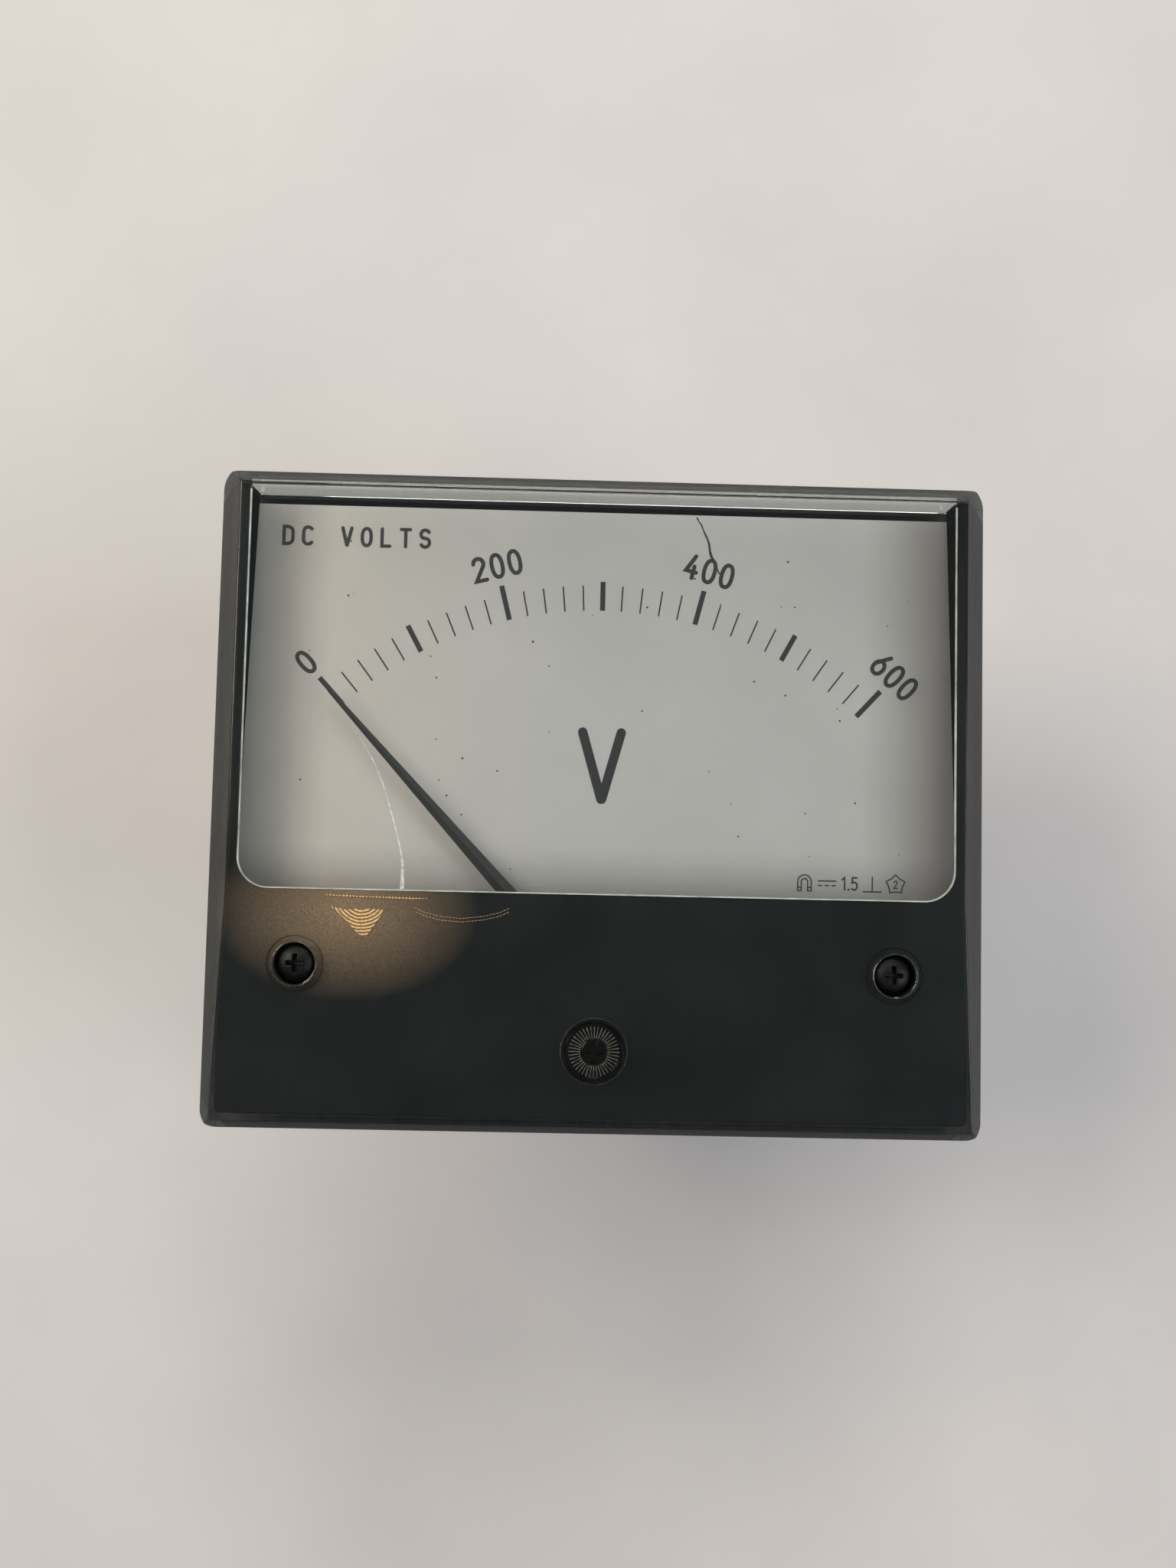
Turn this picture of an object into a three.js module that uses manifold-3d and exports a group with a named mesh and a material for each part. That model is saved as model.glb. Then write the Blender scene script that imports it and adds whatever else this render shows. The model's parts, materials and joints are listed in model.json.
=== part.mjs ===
// Rectangular moving-coil panel voltmeter, lying face up.
// Millimetres. +X right and +Y to 12 o'clock on the dial, +Z out of the dial.
// Drawn from the panel plane (z = 0); the whole group is then lifted so that it stands on its rear end.
import * as THREE from "three";
import { mergeVertices } from "three/addons/utils/BufferGeometryUtils.js";
import Module from "manifold-3d";

const wasm = await Module();
wasm.setup();

// ---- driving dimensions ----
const gap = 0.3; // clearance between neighbouring pieces that are cut to each other
const seat = 0.1; // clearance between flat faces that rest on each other
const sides = { barrel: 56, large: 36, medium: 24, small: 16, tiny: 12 }; // facets round a turned piece

const cover = {
  width: 100, height: 84.5, depth: 16, cornerRadius: 2.3, wall: 1.9, face: 2,
  sideBevel: 3, topBevel: 1.9, bottomBevel: 1.1, foldY: -12.2, fall: 1.5,
};
const windowSize = { halfWidth: 46.05, bottom: -11.8, cornerRadius: 4, rearZ: 8.9 };
const mask = { thickness: 0.35, foot: 2.8 };
const coverScrew = { x: 38.3, y: -21.3, headRadius: 2.5, headHeight: 2.1, shankRadius: 1.5, seatZ: 12.3, endZ: 1.2 };
const coverBoss = { radius: 3.5, footZ: 6.8, boreRadius: 2.8, holeRadius: 1.75 };
const caseTower = { radius: 3.5, topZ: 6.5, holeRadius: 1.75, holeEndZ: 0.9 };

const flange = { halfWidth: 47.2, halfHeight: 39.6, thickness: 2.5, cornerRadius: 1.5 };
const barrel = { y: -6, radius: 32.5, wall: 2, rearZ: -44, backWall: 2.5 };
const gasket = { halfWidth: 46.6, halfHeight: 39.5, thickness: 1.2, openingRadius: 32.8, holeRadius: 2.6 };
const panelStud = { x: 40, y: 32.5, radius: 2, endZ: -17, rootZ: 1.7, nutTopZ: -3.6, nutHeight: 3.2, nutAcross: 7 };
const terminal = { x: 16, radius: 2.5, headAcross: 8, headHeight: 3, endZ: -58, nutHeight: 4, washerRadius: 5, washerHeight: 1, lugSpace: 2.3 };
const barrier = { halfWidth: 1, halfLength: 13 };
const board = { halfWidth: 21, bottom: -14, top: 12, thickness: 1.6, backZ: -40 };
const resistor = { radius: 2.6, halfLength: 7, leadX: 9.6, leadRadius: 0.4, rows: [-5.5, 1.5, 8.5], axisZ: -34.6 };

const pivotY = -24.4; // the moving coil's axis; the scale is drawn about it
const scaleHalfAngle = THREE.MathUtils.degToRad(42.75);
const dial = { halfWidth: 47.3, top: 39.15, bottom: -18.5, thickness: 0.8, faceZ: 9, notchRadius: 11, cornerRadius: 1.2 };
const dialScrew = { x: 32, y: -14.5, headRadius: 1.9, headHeight: 1.1, shankRadius: 0.9, shankEndZ: 4.5 };
const dialRest = { x: 40, y: 30, radius: 2.5 };

const core = { radius: 6.4, rearZ: -8.2, frontZ: 0.2, slotHalfWidth: 1.8, slotRearZ: -5.2, slotFrontZ: -2.8 };
const coil = { innerX: 6.8, formerX: 7.15, windingX: 7.75, halfWidth: 2.3, windingHalfWidth: 1.9, rearZ: -9.5, frontZ: 1.5 };
const yoke = { innerRadius: 8.4, outerRadius: 11.2, rearZ: -8.6, frontZ: 0.6 };
const frame = { halfLength: 32.4, halfWidth: 6, backZ: 2.8, thickness: 1.5, holeRadius: 9.6, collarRadius: 11.6, screwX: 29.5, postX: 14.5, postRadius: 2.4 };
const bridge = { backZ: 7.4, thickness: 1.4, halfWidth: 2.6, halfLength: 17 };
const rearBridge = { backZ: -15, thickness: 1.4, halfWidth: 2.8, halfLength: 11.9, legX: 9.2 };
const jewelScrew = { radius: 1.4, length: 4.4, slotWidth: 0.5, slotDepth: 0.7 };
const staff = { radius: 0.45, frontTipZ: 6.9, rearTipZ: -12.9 };
const spring = { turns: 3, innerRadius: 1.2, outerRadius: 4.4, thickness: 0.22, height: 0.5, frontZ: 4.9, rearZ: -11.9 };
const pointer = { tipRadius: 52.5, tipWidth: 0.55, taper: 0.0549, bladeZ: 11.2, thickness: 0.4, hubZ: 2.9, riseStart: 5.3, riseEnd: 9.2 };
const balance = { armHalfWidth: 0.45, armLength: 7, weightRadius: 0.95, weightInner: 4.2, weightLength: 2 };
const stop = { radius: 14, angle: THREE.MathUtils.degToRad(56.9), pinRadius: 0.6, topZ: 12.4 };

const adjuster = { y: -31.6, headRadius: 3.75, headTopZ: 15.25, headBottomZ: 14.25, recessRadius: 4.2, recessDepth: 1, neckRadius: 2.7, eccentric: 0.8, pinRadius: 0.6, pinEndZ: 9 };
const adjusterHole = 3.05;
const clip = { outerRadius: 4, innerRadius: 2.5, topZ: 12.1, thickness: 0.5 };
const lever = { backZ: 9.2, thickness: 0.7, slotHalfWidth: 0.9, slotStart: 6, slotEnd: 9.6, halfWidth: 2.1 };

const liftZ = -terminal.endZ;
const faceSlope = cover.fall / (cover.foldY + cover.height / 2);
const faceZ = (y) => cover.depth - Math.max(0, cover.foldY - y) * faceSlope;

// ---- materials ----
const paint = (color, roughness, metalness = 0, opacity = 1) =>
  new THREE.MeshStandardMaterial({ color, roughness, metalness, opacity, transparent: opacity < 1 });
const looks = {
  clear: paint(0xdfe6e2, 0.08, 0, 0.3),
  mask: paint(0x232927, 0.45),
  caseBlack: paint(0x17191a, 0.5),
  foam: paint(0x1c1c1b, 0.9),
  blackSteel: paint(0x141516, 0.45, 0.8),
  steel: paint(0x8f9496, 0.35, 1),
  softIron: paint(0x6c7072, 0.4, 1),
  magnet: paint(0x4a4c4f, 0.5, 0.9),
  castAlloy: paint(0xa4a7a8, 0.5, 1),
  brass: paint(0xb5924c, 0.35, 1),
  copper: paint(0x8e3f22, 0.35, 0.6),
  bronze: paint(0xa8773f, 0.35, 1),
  dialWhite: paint(0xc9c9c3, 0.45),
  pointerBlack: paint(0x101011, 0.5),
  boardBrown: paint(0x8a6a3a, 0.6),
  resistorBody: paint(0xa9c0b8, 0.4),
  redWire: paint(0x8e1f1b, 0.5),
  blackWire: paint(0x161616, 0.5),
};

// ---- solids ----
function solid(geometry) {
  const bare = geometry.index ? geometry.toNonIndexed() : geometry;
  bare.deleteAttribute("normal");
  bare.deleteAttribute("uv");
  const merged = mergeVertices(bare, 1e-4);
  const vertProperties = new Float32Array(merged.attributes.position.array);
  const triVerts = new Uint32Array(merged.index.array);
  if (signedVolume(vertProperties, triVerts) < 0) {
    for (let i = 0; i < triVerts.length; i += 3) {
      [triVerts[i], triVerts[i + 1]] = [triVerts[i + 1], triVerts[i]];
    }
  }
  return new wasm.Manifold(new wasm.Mesh({ numProp: 3, vertProperties, triVerts }));
}

function signedVolume(points, triangles) {
  const corner = [0, 1, 2].map(() => new THREE.Vector3());
  let sum = 0;
  for (let i = 0; i < triangles.length; i += 3) {
    corner.forEach((c, k) => c.fromArray(points, 3 * triangles[i + k]));
    sum += corner[0].dot(corner[1].clone().cross(corner[2]));
  }
  return sum / 6;
}

function geometryOf(body) {
  const mesh = body.getMesh();
  const geometry = new THREE.BufferGeometry();
  geometry.setAttribute("position", new THREE.BufferAttribute(mesh.vertProperties.slice(), 3));
  geometry.setIndex(new THREE.BufferAttribute(mesh.triVerts.slice(), 1));
  return geometry;
}

const outline = (points) => new THREE.Shape(points.map(([x, y]) => new THREE.Vector2(x, y)));

function roundedRectangle(x0, x1, y0, y1, r) {
  const shape = new THREE.Shape();
  shape.moveTo(x0 + r, y0);
  shape.lineTo(x1 - r, y0);
  shape.absarc(x1 - r, y0 + r, r, -Math.PI / 2, 0);
  shape.lineTo(x1, y1 - r);
  shape.absarc(x1 - r, y1 - r, r, 0, Math.PI / 2);
  shape.lineTo(x0 + r, y1);
  shape.absarc(x0 + r, y1 - r, r, Math.PI / 2, Math.PI);
  shape.lineTo(x0, y0 + r);
  shape.absarc(x0 + r, y0 + r, r, Math.PI, 1.5 * Math.PI);
  return shape;
}

// A shape in the XY plane, between two heights.
function slab(shape, z0, z1, curveSegments = 4) {
  const geometry = new THREE.ExtrudeGeometry(shape, { depth: z1 - z0, bevelEnabled: false, curveSegments });
  geometry.translate(0, 0, z0);
  return solid(geometry);
}

const block = (x0, x1, y0, y1, z0, z1) => slab(outline([[x0, y0], [x1, y0], [x1, y1], [x0, y1]]), z0, z1);

// A [y, z] outline, carried along X.
function alongX(points, x0, x1) {
  const geometry = new THREE.ExtrudeGeometry(outline(points), { depth: x1 - x0, bevelEnabled: false });
  geometry.applyMatrix4(new THREE.Matrix4().set(0, 0, 1, x0, 1, 0, 0, 0, 0, 1, 0, 0, 0, 0, 0, 1));
  return solid(geometry);
}

// An [x, z] outline, carried along Y.
function alongY(points, y0, y1) {
  const geometry = new THREE.ExtrudeGeometry(outline(points), { depth: y1 - y0, bevelEnabled: false });
  geometry.applyMatrix4(new THREE.Matrix4().set(1, 0, 0, 0, 0, 0, -1, y1, 0, 1, 0, 0, 0, 0, 0, 1));
  return solid(geometry);
}

// A [radius, z] profile turned about a vertical axis at (x, y).
function turned(points, x, y, segments = sides.medium) {
  const profile = points.map(([r, z]) => new THREE.Vector2(r, z));
  const geometry = new THREE.LatheGeometry(profile, segments);
  geometry.rotateX(Math.PI / 2);
  geometry.translate(x, y, 0);
  return solid(geometry);
}

const rod = (x, y, r, z0, z1, segments = sides.medium) => turned([[0, z0], [r, z0], [r, z1], [0, z1]], x, y, segments);
const ring = (x, y, r0, r1, z0, z1, segments = sides.large) =>
  turned([[r0, z0], [r1, z0], [r1, z1], [r0, z1], [r0, z0]], x, y, segments);

function hexagon(x, y, across, z0, z1) {
  const radius = across / Math.sqrt(3);
  const geometry = new THREE.CylinderGeometry(radius, radius, z1 - z0, 6);
  geometry.rotateX(Math.PI / 2);
  geometry.translate(x, y, (z0 + z1) / 2);
  return solid(geometry);
}

const nut = (x, y, across, holeRadius, z0, z1) =>
  hexagon(x, y, across, z0, z1).subtract(rod(x, y, holeRadius, z0 - 1, z1 + 1, sides.small));

function wire(points, radius, steps) {
  const path = new THREE.CatmullRomCurve3(points.map((p) => new THREE.Vector3(...p)));
  const section = new THREE.Shape().absarc(0, 0, radius, 0, 2 * Math.PI);
  return solid(new THREE.ExtrudeGeometry(section, { steps, extrudePath: path, bevelEnabled: false, curveSegments: 4 }));
}

// A pan-head screw pointing down, with a cross cut in its head.
function panScrew({ x, y, headRadius, headHeight, shankRadius, seatZ, endZ, cross }) {
  const topZ = seatZ + headHeight;
  const crown = headHeight * 0.35;
  const body = turned(
    [[0, endZ], [shankRadius * 0.7, endZ], [shankRadius, endZ + 0.5], [shankRadius, seatZ], [headRadius, seatZ],
      [headRadius, topZ - crown], [headRadius * 0.8, topZ - crown * 0.3], [headRadius * 0.5, topZ], [0, topZ]],
    x, y, headRadius > 2.2 ? sides.medium : sides.tiny,
  );
  const long = headRadius * 0.6;
  const half = headRadius * 0.14;
  const depth = cross ?? headHeight * 0.6;
  return body
    .subtract(block(x - long, x + long, y - half, y + half, topZ - depth, topZ + 1))
    .subtract(block(x - half, x + half, y - long, y + long, topZ - depth, topZ + 1));
}

// ---- the assembly ----
const meter = new THREE.Group();
const lifted = new THREE.Group();
lifted.position.z = liftZ;
meter.add(lifted);

function add(name, body, look, parent = lifted) {
  const mesh = new THREE.Mesh(geometryOf(body), looks[look]);
  mesh.name = name;
  parent.add(mesh);
  return mesh;
}

// ---- cover ----
// The cover's outer shape, or the space inside it when inset: straight walls, bevelled front edges and a
// front face that falls back below the fold.
function coverBlock(inset, floorZ, extraTop = 0) {
  const halfW = cover.width / 2 - inset;
  const halfH = cover.height / 2 - inset;
  const drop = inset === 0 ? 0 : cover.face + (inset - cover.wall);
  const front = cover.depth - drop;
  const corner = Math.max(0.6, cover.cornerRadius - inset);
  const bevel = inset === 0 ? cover.sideBevel : cover.sideBevel - 1;
  const bottomZ = front - cover.fall;
  const top = inset === 0 ? cover.topBevel : 0.01;
  const foot = inset === 0 ? cover.bottomBevel : 0.01;
  const plan = slab(roundedRectangle(-halfW, halfW, -halfH, halfH + extraTop, corner), floorZ, cover.depth + 1);
  const side = alongX(
    [[-halfH, floorZ - 1], [halfH + extraTop, floorZ - 1], [halfH + extraTop, front - top],
      [halfH + extraTop - top, front], [cover.foldY, front], [-halfH + foot, bottomZ], [-halfH, bottomZ - foot]],
    -60, 60,
  );
  const end = alongY(
    [[-halfW, floorZ - 1], [halfW, floorZ - 1], [halfW, front - bevel], [halfW - bevel, front],
      [-halfW + bevel, front], [-halfW, front - bevel]],
    -60, 60,
  );
  return plan.intersect(side).intersect(end);
}

function frontCover() {
  let body = coverBlock(0, 0).subtract(coverBlock(cover.wall, -1));
  for (const side of [-1, 1]) {
    const x = side * coverScrew.x;
    const boss = rod(x, coverScrew.y, coverBoss.radius, coverBoss.footZ, 14.5, sides.medium);
    body = body
      .add(boss)
      .subtract(rod(x, coverScrew.y, coverBoss.boreRadius, coverScrew.seatZ - seat, 20, sides.medium))
      .subtract(rod(x, coverScrew.y, coverBoss.holeRadius, 0, 20, sides.small));
  }
  return body
    .subtract(rod(0, adjuster.y, adjuster.recessRadius, faceZ(adjuster.y) - adjuster.recessDepth, 20, sides.large))
    .subtract(rod(0, adjuster.y, adjusterHole, 0, 20, sides.medium));
}

function coverMask() {
  const outerInset = cover.wall + seat;
  const shell = coverBlock(outerInset, mask.foot).subtract(coverBlock(outerInset + mask.thickness, mask.foot - 1));
  const aperture = roundedRectangle(-windowSize.halfWidth, windowSize.halfWidth, windowSize.bottom, 60, windowSize.cornerRadius);
  let body = shell.subtract(slab(aperture, windowSize.rearZ, 20));
  for (const side of [-1, 1]) {
    body = body.subtract(rod(side * coverScrew.x, coverScrew.y, coverBoss.radius + gap, 0, 20, sides.medium));
  }
  return body.subtract(rod(0, adjuster.y, clip.outerRadius + gap, 0, 20, sides.medium));
}

function adjusterClip() {
  const body = ring(0, adjuster.y, clip.innerRadius, clip.outerRadius, clip.topZ - clip.thickness, clip.topZ, sides.medium);
  return body.subtract(block(-1.2, 1.2, adjuster.y + 1, adjuster.y + 6, 0, 20));
}

function zeroAdjuster() {
  const neckEndZ = clip.topZ - clip.thickness - 0.9;
  const body = turned(
    [[0, neckEndZ], [adjuster.neckRadius, neckEndZ], [adjuster.neckRadius, clip.topZ - clip.thickness - seat],
      [clip.innerRadius - 0.25, clip.topZ - clip.thickness - seat], [clip.innerRadius - 0.25, clip.topZ + seat],
      [adjuster.neckRadius, clip.topZ + seat], [adjuster.neckRadius, adjuster.headBottomZ],
      [adjuster.headRadius, adjuster.headBottomZ], [adjuster.headRadius, adjuster.headTopZ - 0.2],
      [adjuster.headRadius - 0.2, adjuster.headTopZ], [0, adjuster.headTopZ]],
    0, adjuster.y, sides.large,
  );
  const pinY = adjuster.y - adjuster.eccentric;
  const slot = { long: 1.7, half: 0.4, bottomZ: adjuster.headTopZ - 1.4 };
  return body
    .add(rod(0, pinY, adjuster.pinRadius, adjuster.pinEndZ, neckEndZ + 0.3, sides.tiny))
    .subtract(block(-slot.long, slot.long, adjuster.y - slot.half, adjuster.y + slot.half, slot.bottomZ, 20))
    .subtract(block(-slot.half, slot.half, adjuster.y - slot.long, adjuster.y + slot.long, slot.bottomZ, 20));
}

add("front_cover", frontCover(), "clear");
add("cover_mask", coverMask(), "mask");
add("zero_adjuster", zeroAdjuster(), "clear");
add("adjuster_clip", adjusterClip(), "bronze");

// ---- rear case, gasket and fixings ----
function rearCase() {
  const innerRadius = barrel.radius - barrel.wall;
  const floorZ = barrel.rearZ + barrel.backWall;
  let body = slab(roundedRectangle(-flange.halfWidth, flange.halfWidth, -flange.halfHeight, flange.halfHeight, flange.cornerRadius), 0, flange.thickness)
    .add(rod(0, barrel.y, barrel.radius, barrel.rearZ, 1, sides.barrel))
    .subtract(rod(0, barrel.y, innerRadius, floorZ, 10, sides.barrel))
    .add(block(-barrier.halfWidth, barrier.halfWidth, barrel.y - barrier.halfLength, barrel.y + barrier.halfLength, terminal.endZ, barrel.rearZ + 0.5));
  for (const side of [-1, 1]) {
    const tower = rod(side * coverScrew.x, coverScrew.y, caseTower.radius, 1, caseTower.topZ, sides.small);
    const towerHole = rod(side * coverScrew.x, coverScrew.y, caseTower.holeRadius, caseTower.holeEndZ, 20, sides.tiny);
    const dialPost = rod(side * dialScrew.x, dialScrew.y, 2.6, 1, dial.faceZ - dial.thickness - seat, sides.small);
    const dialHole = rod(side * dialScrew.x, dialScrew.y, dialScrew.shankRadius + 0.2, 4, 20, sides.tiny);
    const rest = rod(side * dialRest.x, dialRest.y, dialRest.radius, 1, dial.faceZ - dial.thickness - seat, sides.small);
    const frameHole = rod(side * frame.screwX, pivotY, 1.25, 0.7, 20, sides.tiny);
    const terminalBoss = rod(side * terminal.x, barrel.y, 5.5, floorZ - 0.5, board.backZ - seat, sides.small);
    const terminalHole = rod(side * terminal.x, barrel.y, terminal.radius + gap, -50, -30, sides.small);
    body = body.add(tower).add(dialPost).add(rest).add(terminalBoss)
      .subtract(towerHole).subtract(dialHole).subtract(frameHole).subtract(terminalHole);
    for (const up of [-1, 1]) {
      body = body.subtract(rod(side * panelStud.x, up * panelStud.y, panelStud.radius + seat, -5, panelStud.rootZ + seat, sides.small));
    }
  }
  return body;
}

function panelGasket() {
  const top = -seat;
  let body = slab(roundedRectangle(-gasket.halfWidth, gasket.halfWidth, -gasket.halfHeight, gasket.halfHeight, 3), top - gasket.thickness, top)
    .subtract(rod(0, barrel.y, gasket.openingRadius, -10, 10, sides.barrel));
  for (const side of [-1, 1]) {
    for (const up of [-1, 1]) {
      body = body.subtract(rod(side * panelStud.x, up * panelStud.y, gasket.holeRadius, -10, 10, sides.tiny));
    }
  }
  return body;
}

add("rear_case", rearCase(), "caseBlack");
add("panel_gasket", panelGasket(), "foam");

for (const [side, word] of [[-1, "left"], [1, "right"]]) {
  add(`cover_screw_${word}`, panScrew({ ...coverScrew, x: side * coverScrew.x }), "blackSteel");
  add(`dial_screw_${word}`, panScrew({
    ...dialScrew, x: side * dialScrew.x, seatZ: dial.faceZ + seat, endZ: dialScrew.shankEndZ,
  }), "steel");
  add(`movement_screw_${word}`, panScrew({
    x: side * frame.screwX, y: pivotY, headRadius: 2, headHeight: 1.4, shankRadius: 1,
    seatZ: frame.backZ + frame.thickness + seat, endZ: 1,
  }), "steel");
  add(`bridge_screw_${word}`, panScrew({
    x: side * frame.postX, y: pivotY, headRadius: 1.8, headHeight: 1.2, shankRadius: 0.8,
    seatZ: bridge.backZ + bridge.thickness + seat, endZ: 5,
  }), "brass");
  for (const [up, height] of [[-1, "lower"], [1, "upper"]]) {
    const x = side * panelStud.x;
    const y = up * panelStud.y;
    const top = panelStud.nutTopZ;
    add(`panel_stud_${height}_${word}`, rod(x, y, panelStud.radius, panelStud.endZ, panelStud.rootZ, sides.small), "steel");
    add(`panel_nut_${height}_${word}`, nut(x, y, panelStud.nutAcross, panelStud.radius + seat, top - panelStud.nutHeight, top), "steel");
  }
}

// ---- terminals and multiplier board ----
for (const [side, pole] of [[-1, "pos"], [1, "neg"]]) {
  const x = side * terminal.x;
  const hole = terminal.radius + seat;
  const headZ = board.backZ + board.thickness + seat;
  const clampTop = barrel.rearZ - seat;
  const washerTop = clampTop - terminal.nutHeight - seat;
  const nutTop = washerTop - terminal.washerHeight - terminal.lugSpace;
  const studBody = rod(x, barrel.y, terminal.radius, terminal.endZ, headZ + 0.5, sides.small)
    .add(hexagon(x, barrel.y, terminal.headAcross, headZ, headZ + terminal.headHeight));
  add(`terminal_stud_${pole}`, studBody, "brass");
  add(`terminal_clamp_nut_${pole}`, nut(x, barrel.y, terminal.headAcross, hole, clampTop - terminal.nutHeight, clampTop), "brass");
  add(`terminal_washer_${pole}`, ring(x, barrel.y, hole, terminal.washerRadius, washerTop - terminal.washerHeight, washerTop, sides.medium), "brass");
  add(`terminal_nut_${pole}`, nut(x, barrel.y, terminal.headAcross, hole, nutTop - terminal.nutHeight, nutTop), "brass");
}

function resistorBoard() {
  let body = block(-board.halfWidth, board.halfWidth, board.bottom, board.top, board.backZ, board.backZ + board.thickness);
  for (const side of [-1, 1]) {
    body = body.subtract(rod(side * terminal.x, barrel.y, terminal.radius + gap, -50, -30, sides.small));
  }
  return body;
}

// A resistor body on its two leads, which bend down to the board.
function multiplierResistor(y) {
  const boardTop = board.backZ + board.thickness + seat;
  const { radius, halfLength, leadX, leadRadius, axisZ } = resistor;
  const profile = [[0, -halfLength], [radius * 0.8, -halfLength], [radius, -halfLength + 0.8],
    [radius * 0.9, -halfLength + 2], [radius * 0.9, halfLength - 2], [radius, halfLength - 0.8],
    [radius * 0.8, halfLength], [0, halfLength]];
  const geometry = new THREE.LatheGeometry(profile.map(([r, h]) => new THREE.Vector2(r, h)), sides.small);
  geometry.rotateZ(Math.PI / 2);
  geometry.translate(0, y, axisZ);
  const leads = wire([[-leadX, y, boardTop], [-leadX, y, axisZ - 0.8], [-leadX + 0.8, y, axisZ], [0, y, axisZ],
    [leadX - 0.8, y, axisZ], [leadX, y, axisZ - 0.8], [leadX, y, boardTop]], leadRadius, 18);
  return solid(geometry).add(leads.intersect(block(-20, 20, y - 5, y + 5, boardTop, 0)));
}

add("resistor_board", resistorBoard(), "boardBrown");
resistor.rows.forEach((y, i) => add(`multiplier_resistor_${i + 1}`, multiplierResistor(y), "resistorBody"));

const padTop = board.backZ + board.thickness + gap;
add("lead_wire_pos", wire([[16, 6, padTop], [16, 6, padTop + 2], [17, 5, -32], [21, -2, -22], [23, -12, -6], [22.5, -15.8, 3.5],
  [20.5, -17.4, 6.6], [18.6, -20.5, 7.9], [bridge.halfLength + gap + 0.3, -23, 8.1]], 0.55, 22), "redWire");
add("lead_wire_neg", wire([[-16, 6, padTop], [-16, 6, padTop + 2], [-17, 4, -33], [-19, -6, -28], [-17.5, -18, -20], [-14.5, -23.4, -15.2],
  [-rearBridge.halfLength - gap - 0.1, pivotY, -14.3]], 0.55, 16), "blackWire");

// ---- dial ----
function dialPlate() {
  const { halfWidth, top, bottom, thickness, faceZ: front, notchRadius, cornerRadius } = dial;
  let body = slab(roundedRectangle(-halfWidth, halfWidth, bottom, top, cornerRadius), front - thickness, front)
    .subtract(rod(0, pivotY, notchRadius, 0, 20, sides.large));
  for (const side of [-1, 1]) {
    body = body
      .subtract(rod(side * dialScrew.x, dialScrew.y, dialScrew.shankRadius + 0.25, 0, 20, sides.tiny))
      .subtract(rod(side * coverScrew.x, coverScrew.y, coverBoss.radius + 1, 0, 20, sides.medium))
      .subtract(rod(side * stop.radius * Math.sin(stop.angle), pivotY + stop.radius * Math.cos(stop.angle), stop.pinRadius - 0.15, 0, 20, sides.tiny));
  }
  return body;
}

// A short pin with a shoulder that rests on the dial; its spigot goes through the plate.
function pointerStop(side) {
  const x = side * stop.radius * Math.sin(stop.angle);
  const y = pivotY + stop.radius * Math.cos(stop.angle);
  const spigot = stop.pinRadius - 0.25;
  return turned([[0, 7.4], [spigot, 7.4], [spigot, dial.faceZ + seat], [stop.pinRadius, dial.faceZ + seat],
    [stop.pinRadius, stop.topZ - 0.2], [stop.pinRadius - 0.2, stop.topZ], [0, stop.topZ]], x, y, sides.tiny);
}

add("dial_plate", dialPlate(), "dialWhite");
add("pointer_stop_zero", pointerStop(-1), "steel");
add("pointer_stop_full", pointerStop(1), "steel");

// ---- fixed part of the movement ----
function movementFrame() {
  const { halfLength, halfWidth, backZ, thickness, holeRadius, collarRadius, screwX, postX, postRadius } = frame;
  const top = backZ + thickness;
  let body = slab(roundedRectangle(-halfLength, halfLength, pivotY - halfWidth, pivotY + halfWidth, 2), backZ, top)
    .add(rod(0, pivotY, collarRadius, yoke.frontZ + seat, top, sides.large))
    .subtract(rod(0, pivotY, holeRadius, 0, 20, sides.large));
  for (const side of [-1, 1]) {
    const inner = yoke.outerRadius + gap;
    const lug = side > 0
      ? block(inner, inner + 1.6, pivotY - 3, pivotY + 3, yoke.rearZ + 2, top)
      : block(-inner - 1.6, -inner, pivotY - 3, pivotY + 3, yoke.rearZ + 2, top);
    body = body.add(lug)
      .add(rod(side * postX, pivotY, postRadius, backZ, bridge.backZ - seat, sides.small))
      .subtract(rod(side * postX, pivotY, 1, 4.8, 20, sides.tiny))
      .subtract(rod(side * screwX, pivotY, 1.25, 0, 20, sides.tiny));
  }
  return body;
}

function frontBridge() {
  const { backZ, thickness, halfWidth, halfLength } = bridge;
  let body = slab(roundedRectangle(-halfLength, halfLength, pivotY - halfWidth, pivotY + halfWidth, 1.5), backZ, backZ + thickness)
    .subtract(rod(0, pivotY, jewelScrew.radius + seat, 0, 20, sides.small));
  for (const side of [-1, 1]) {
    body = body.subtract(rod(side * frame.postX, pivotY, 1, 0, 20, sides.tiny));
  }
  return body;
}

function rearBridgePiece() {
  const { backZ, thickness, halfWidth, halfLength, legX } = rearBridge;
  return block(-halfLength, halfLength, pivotY - halfWidth, pivotY + halfWidth, backZ, backZ + thickness)
    .add(block(legX, halfLength, pivotY - halfWidth, pivotY + halfWidth, backZ, yoke.rearZ - seat))
    .add(block(-halfLength, -legX, pivotY - halfWidth, pivotY + halfWidth, backZ, yoke.rearZ - seat))
    .intersect(rod(0, pivotY, halfLength, -30, 20, sides.large))
    .subtract(rod(0, pivotY, jewelScrew.radius + seat, -30, 20, sides.small));
}

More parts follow.
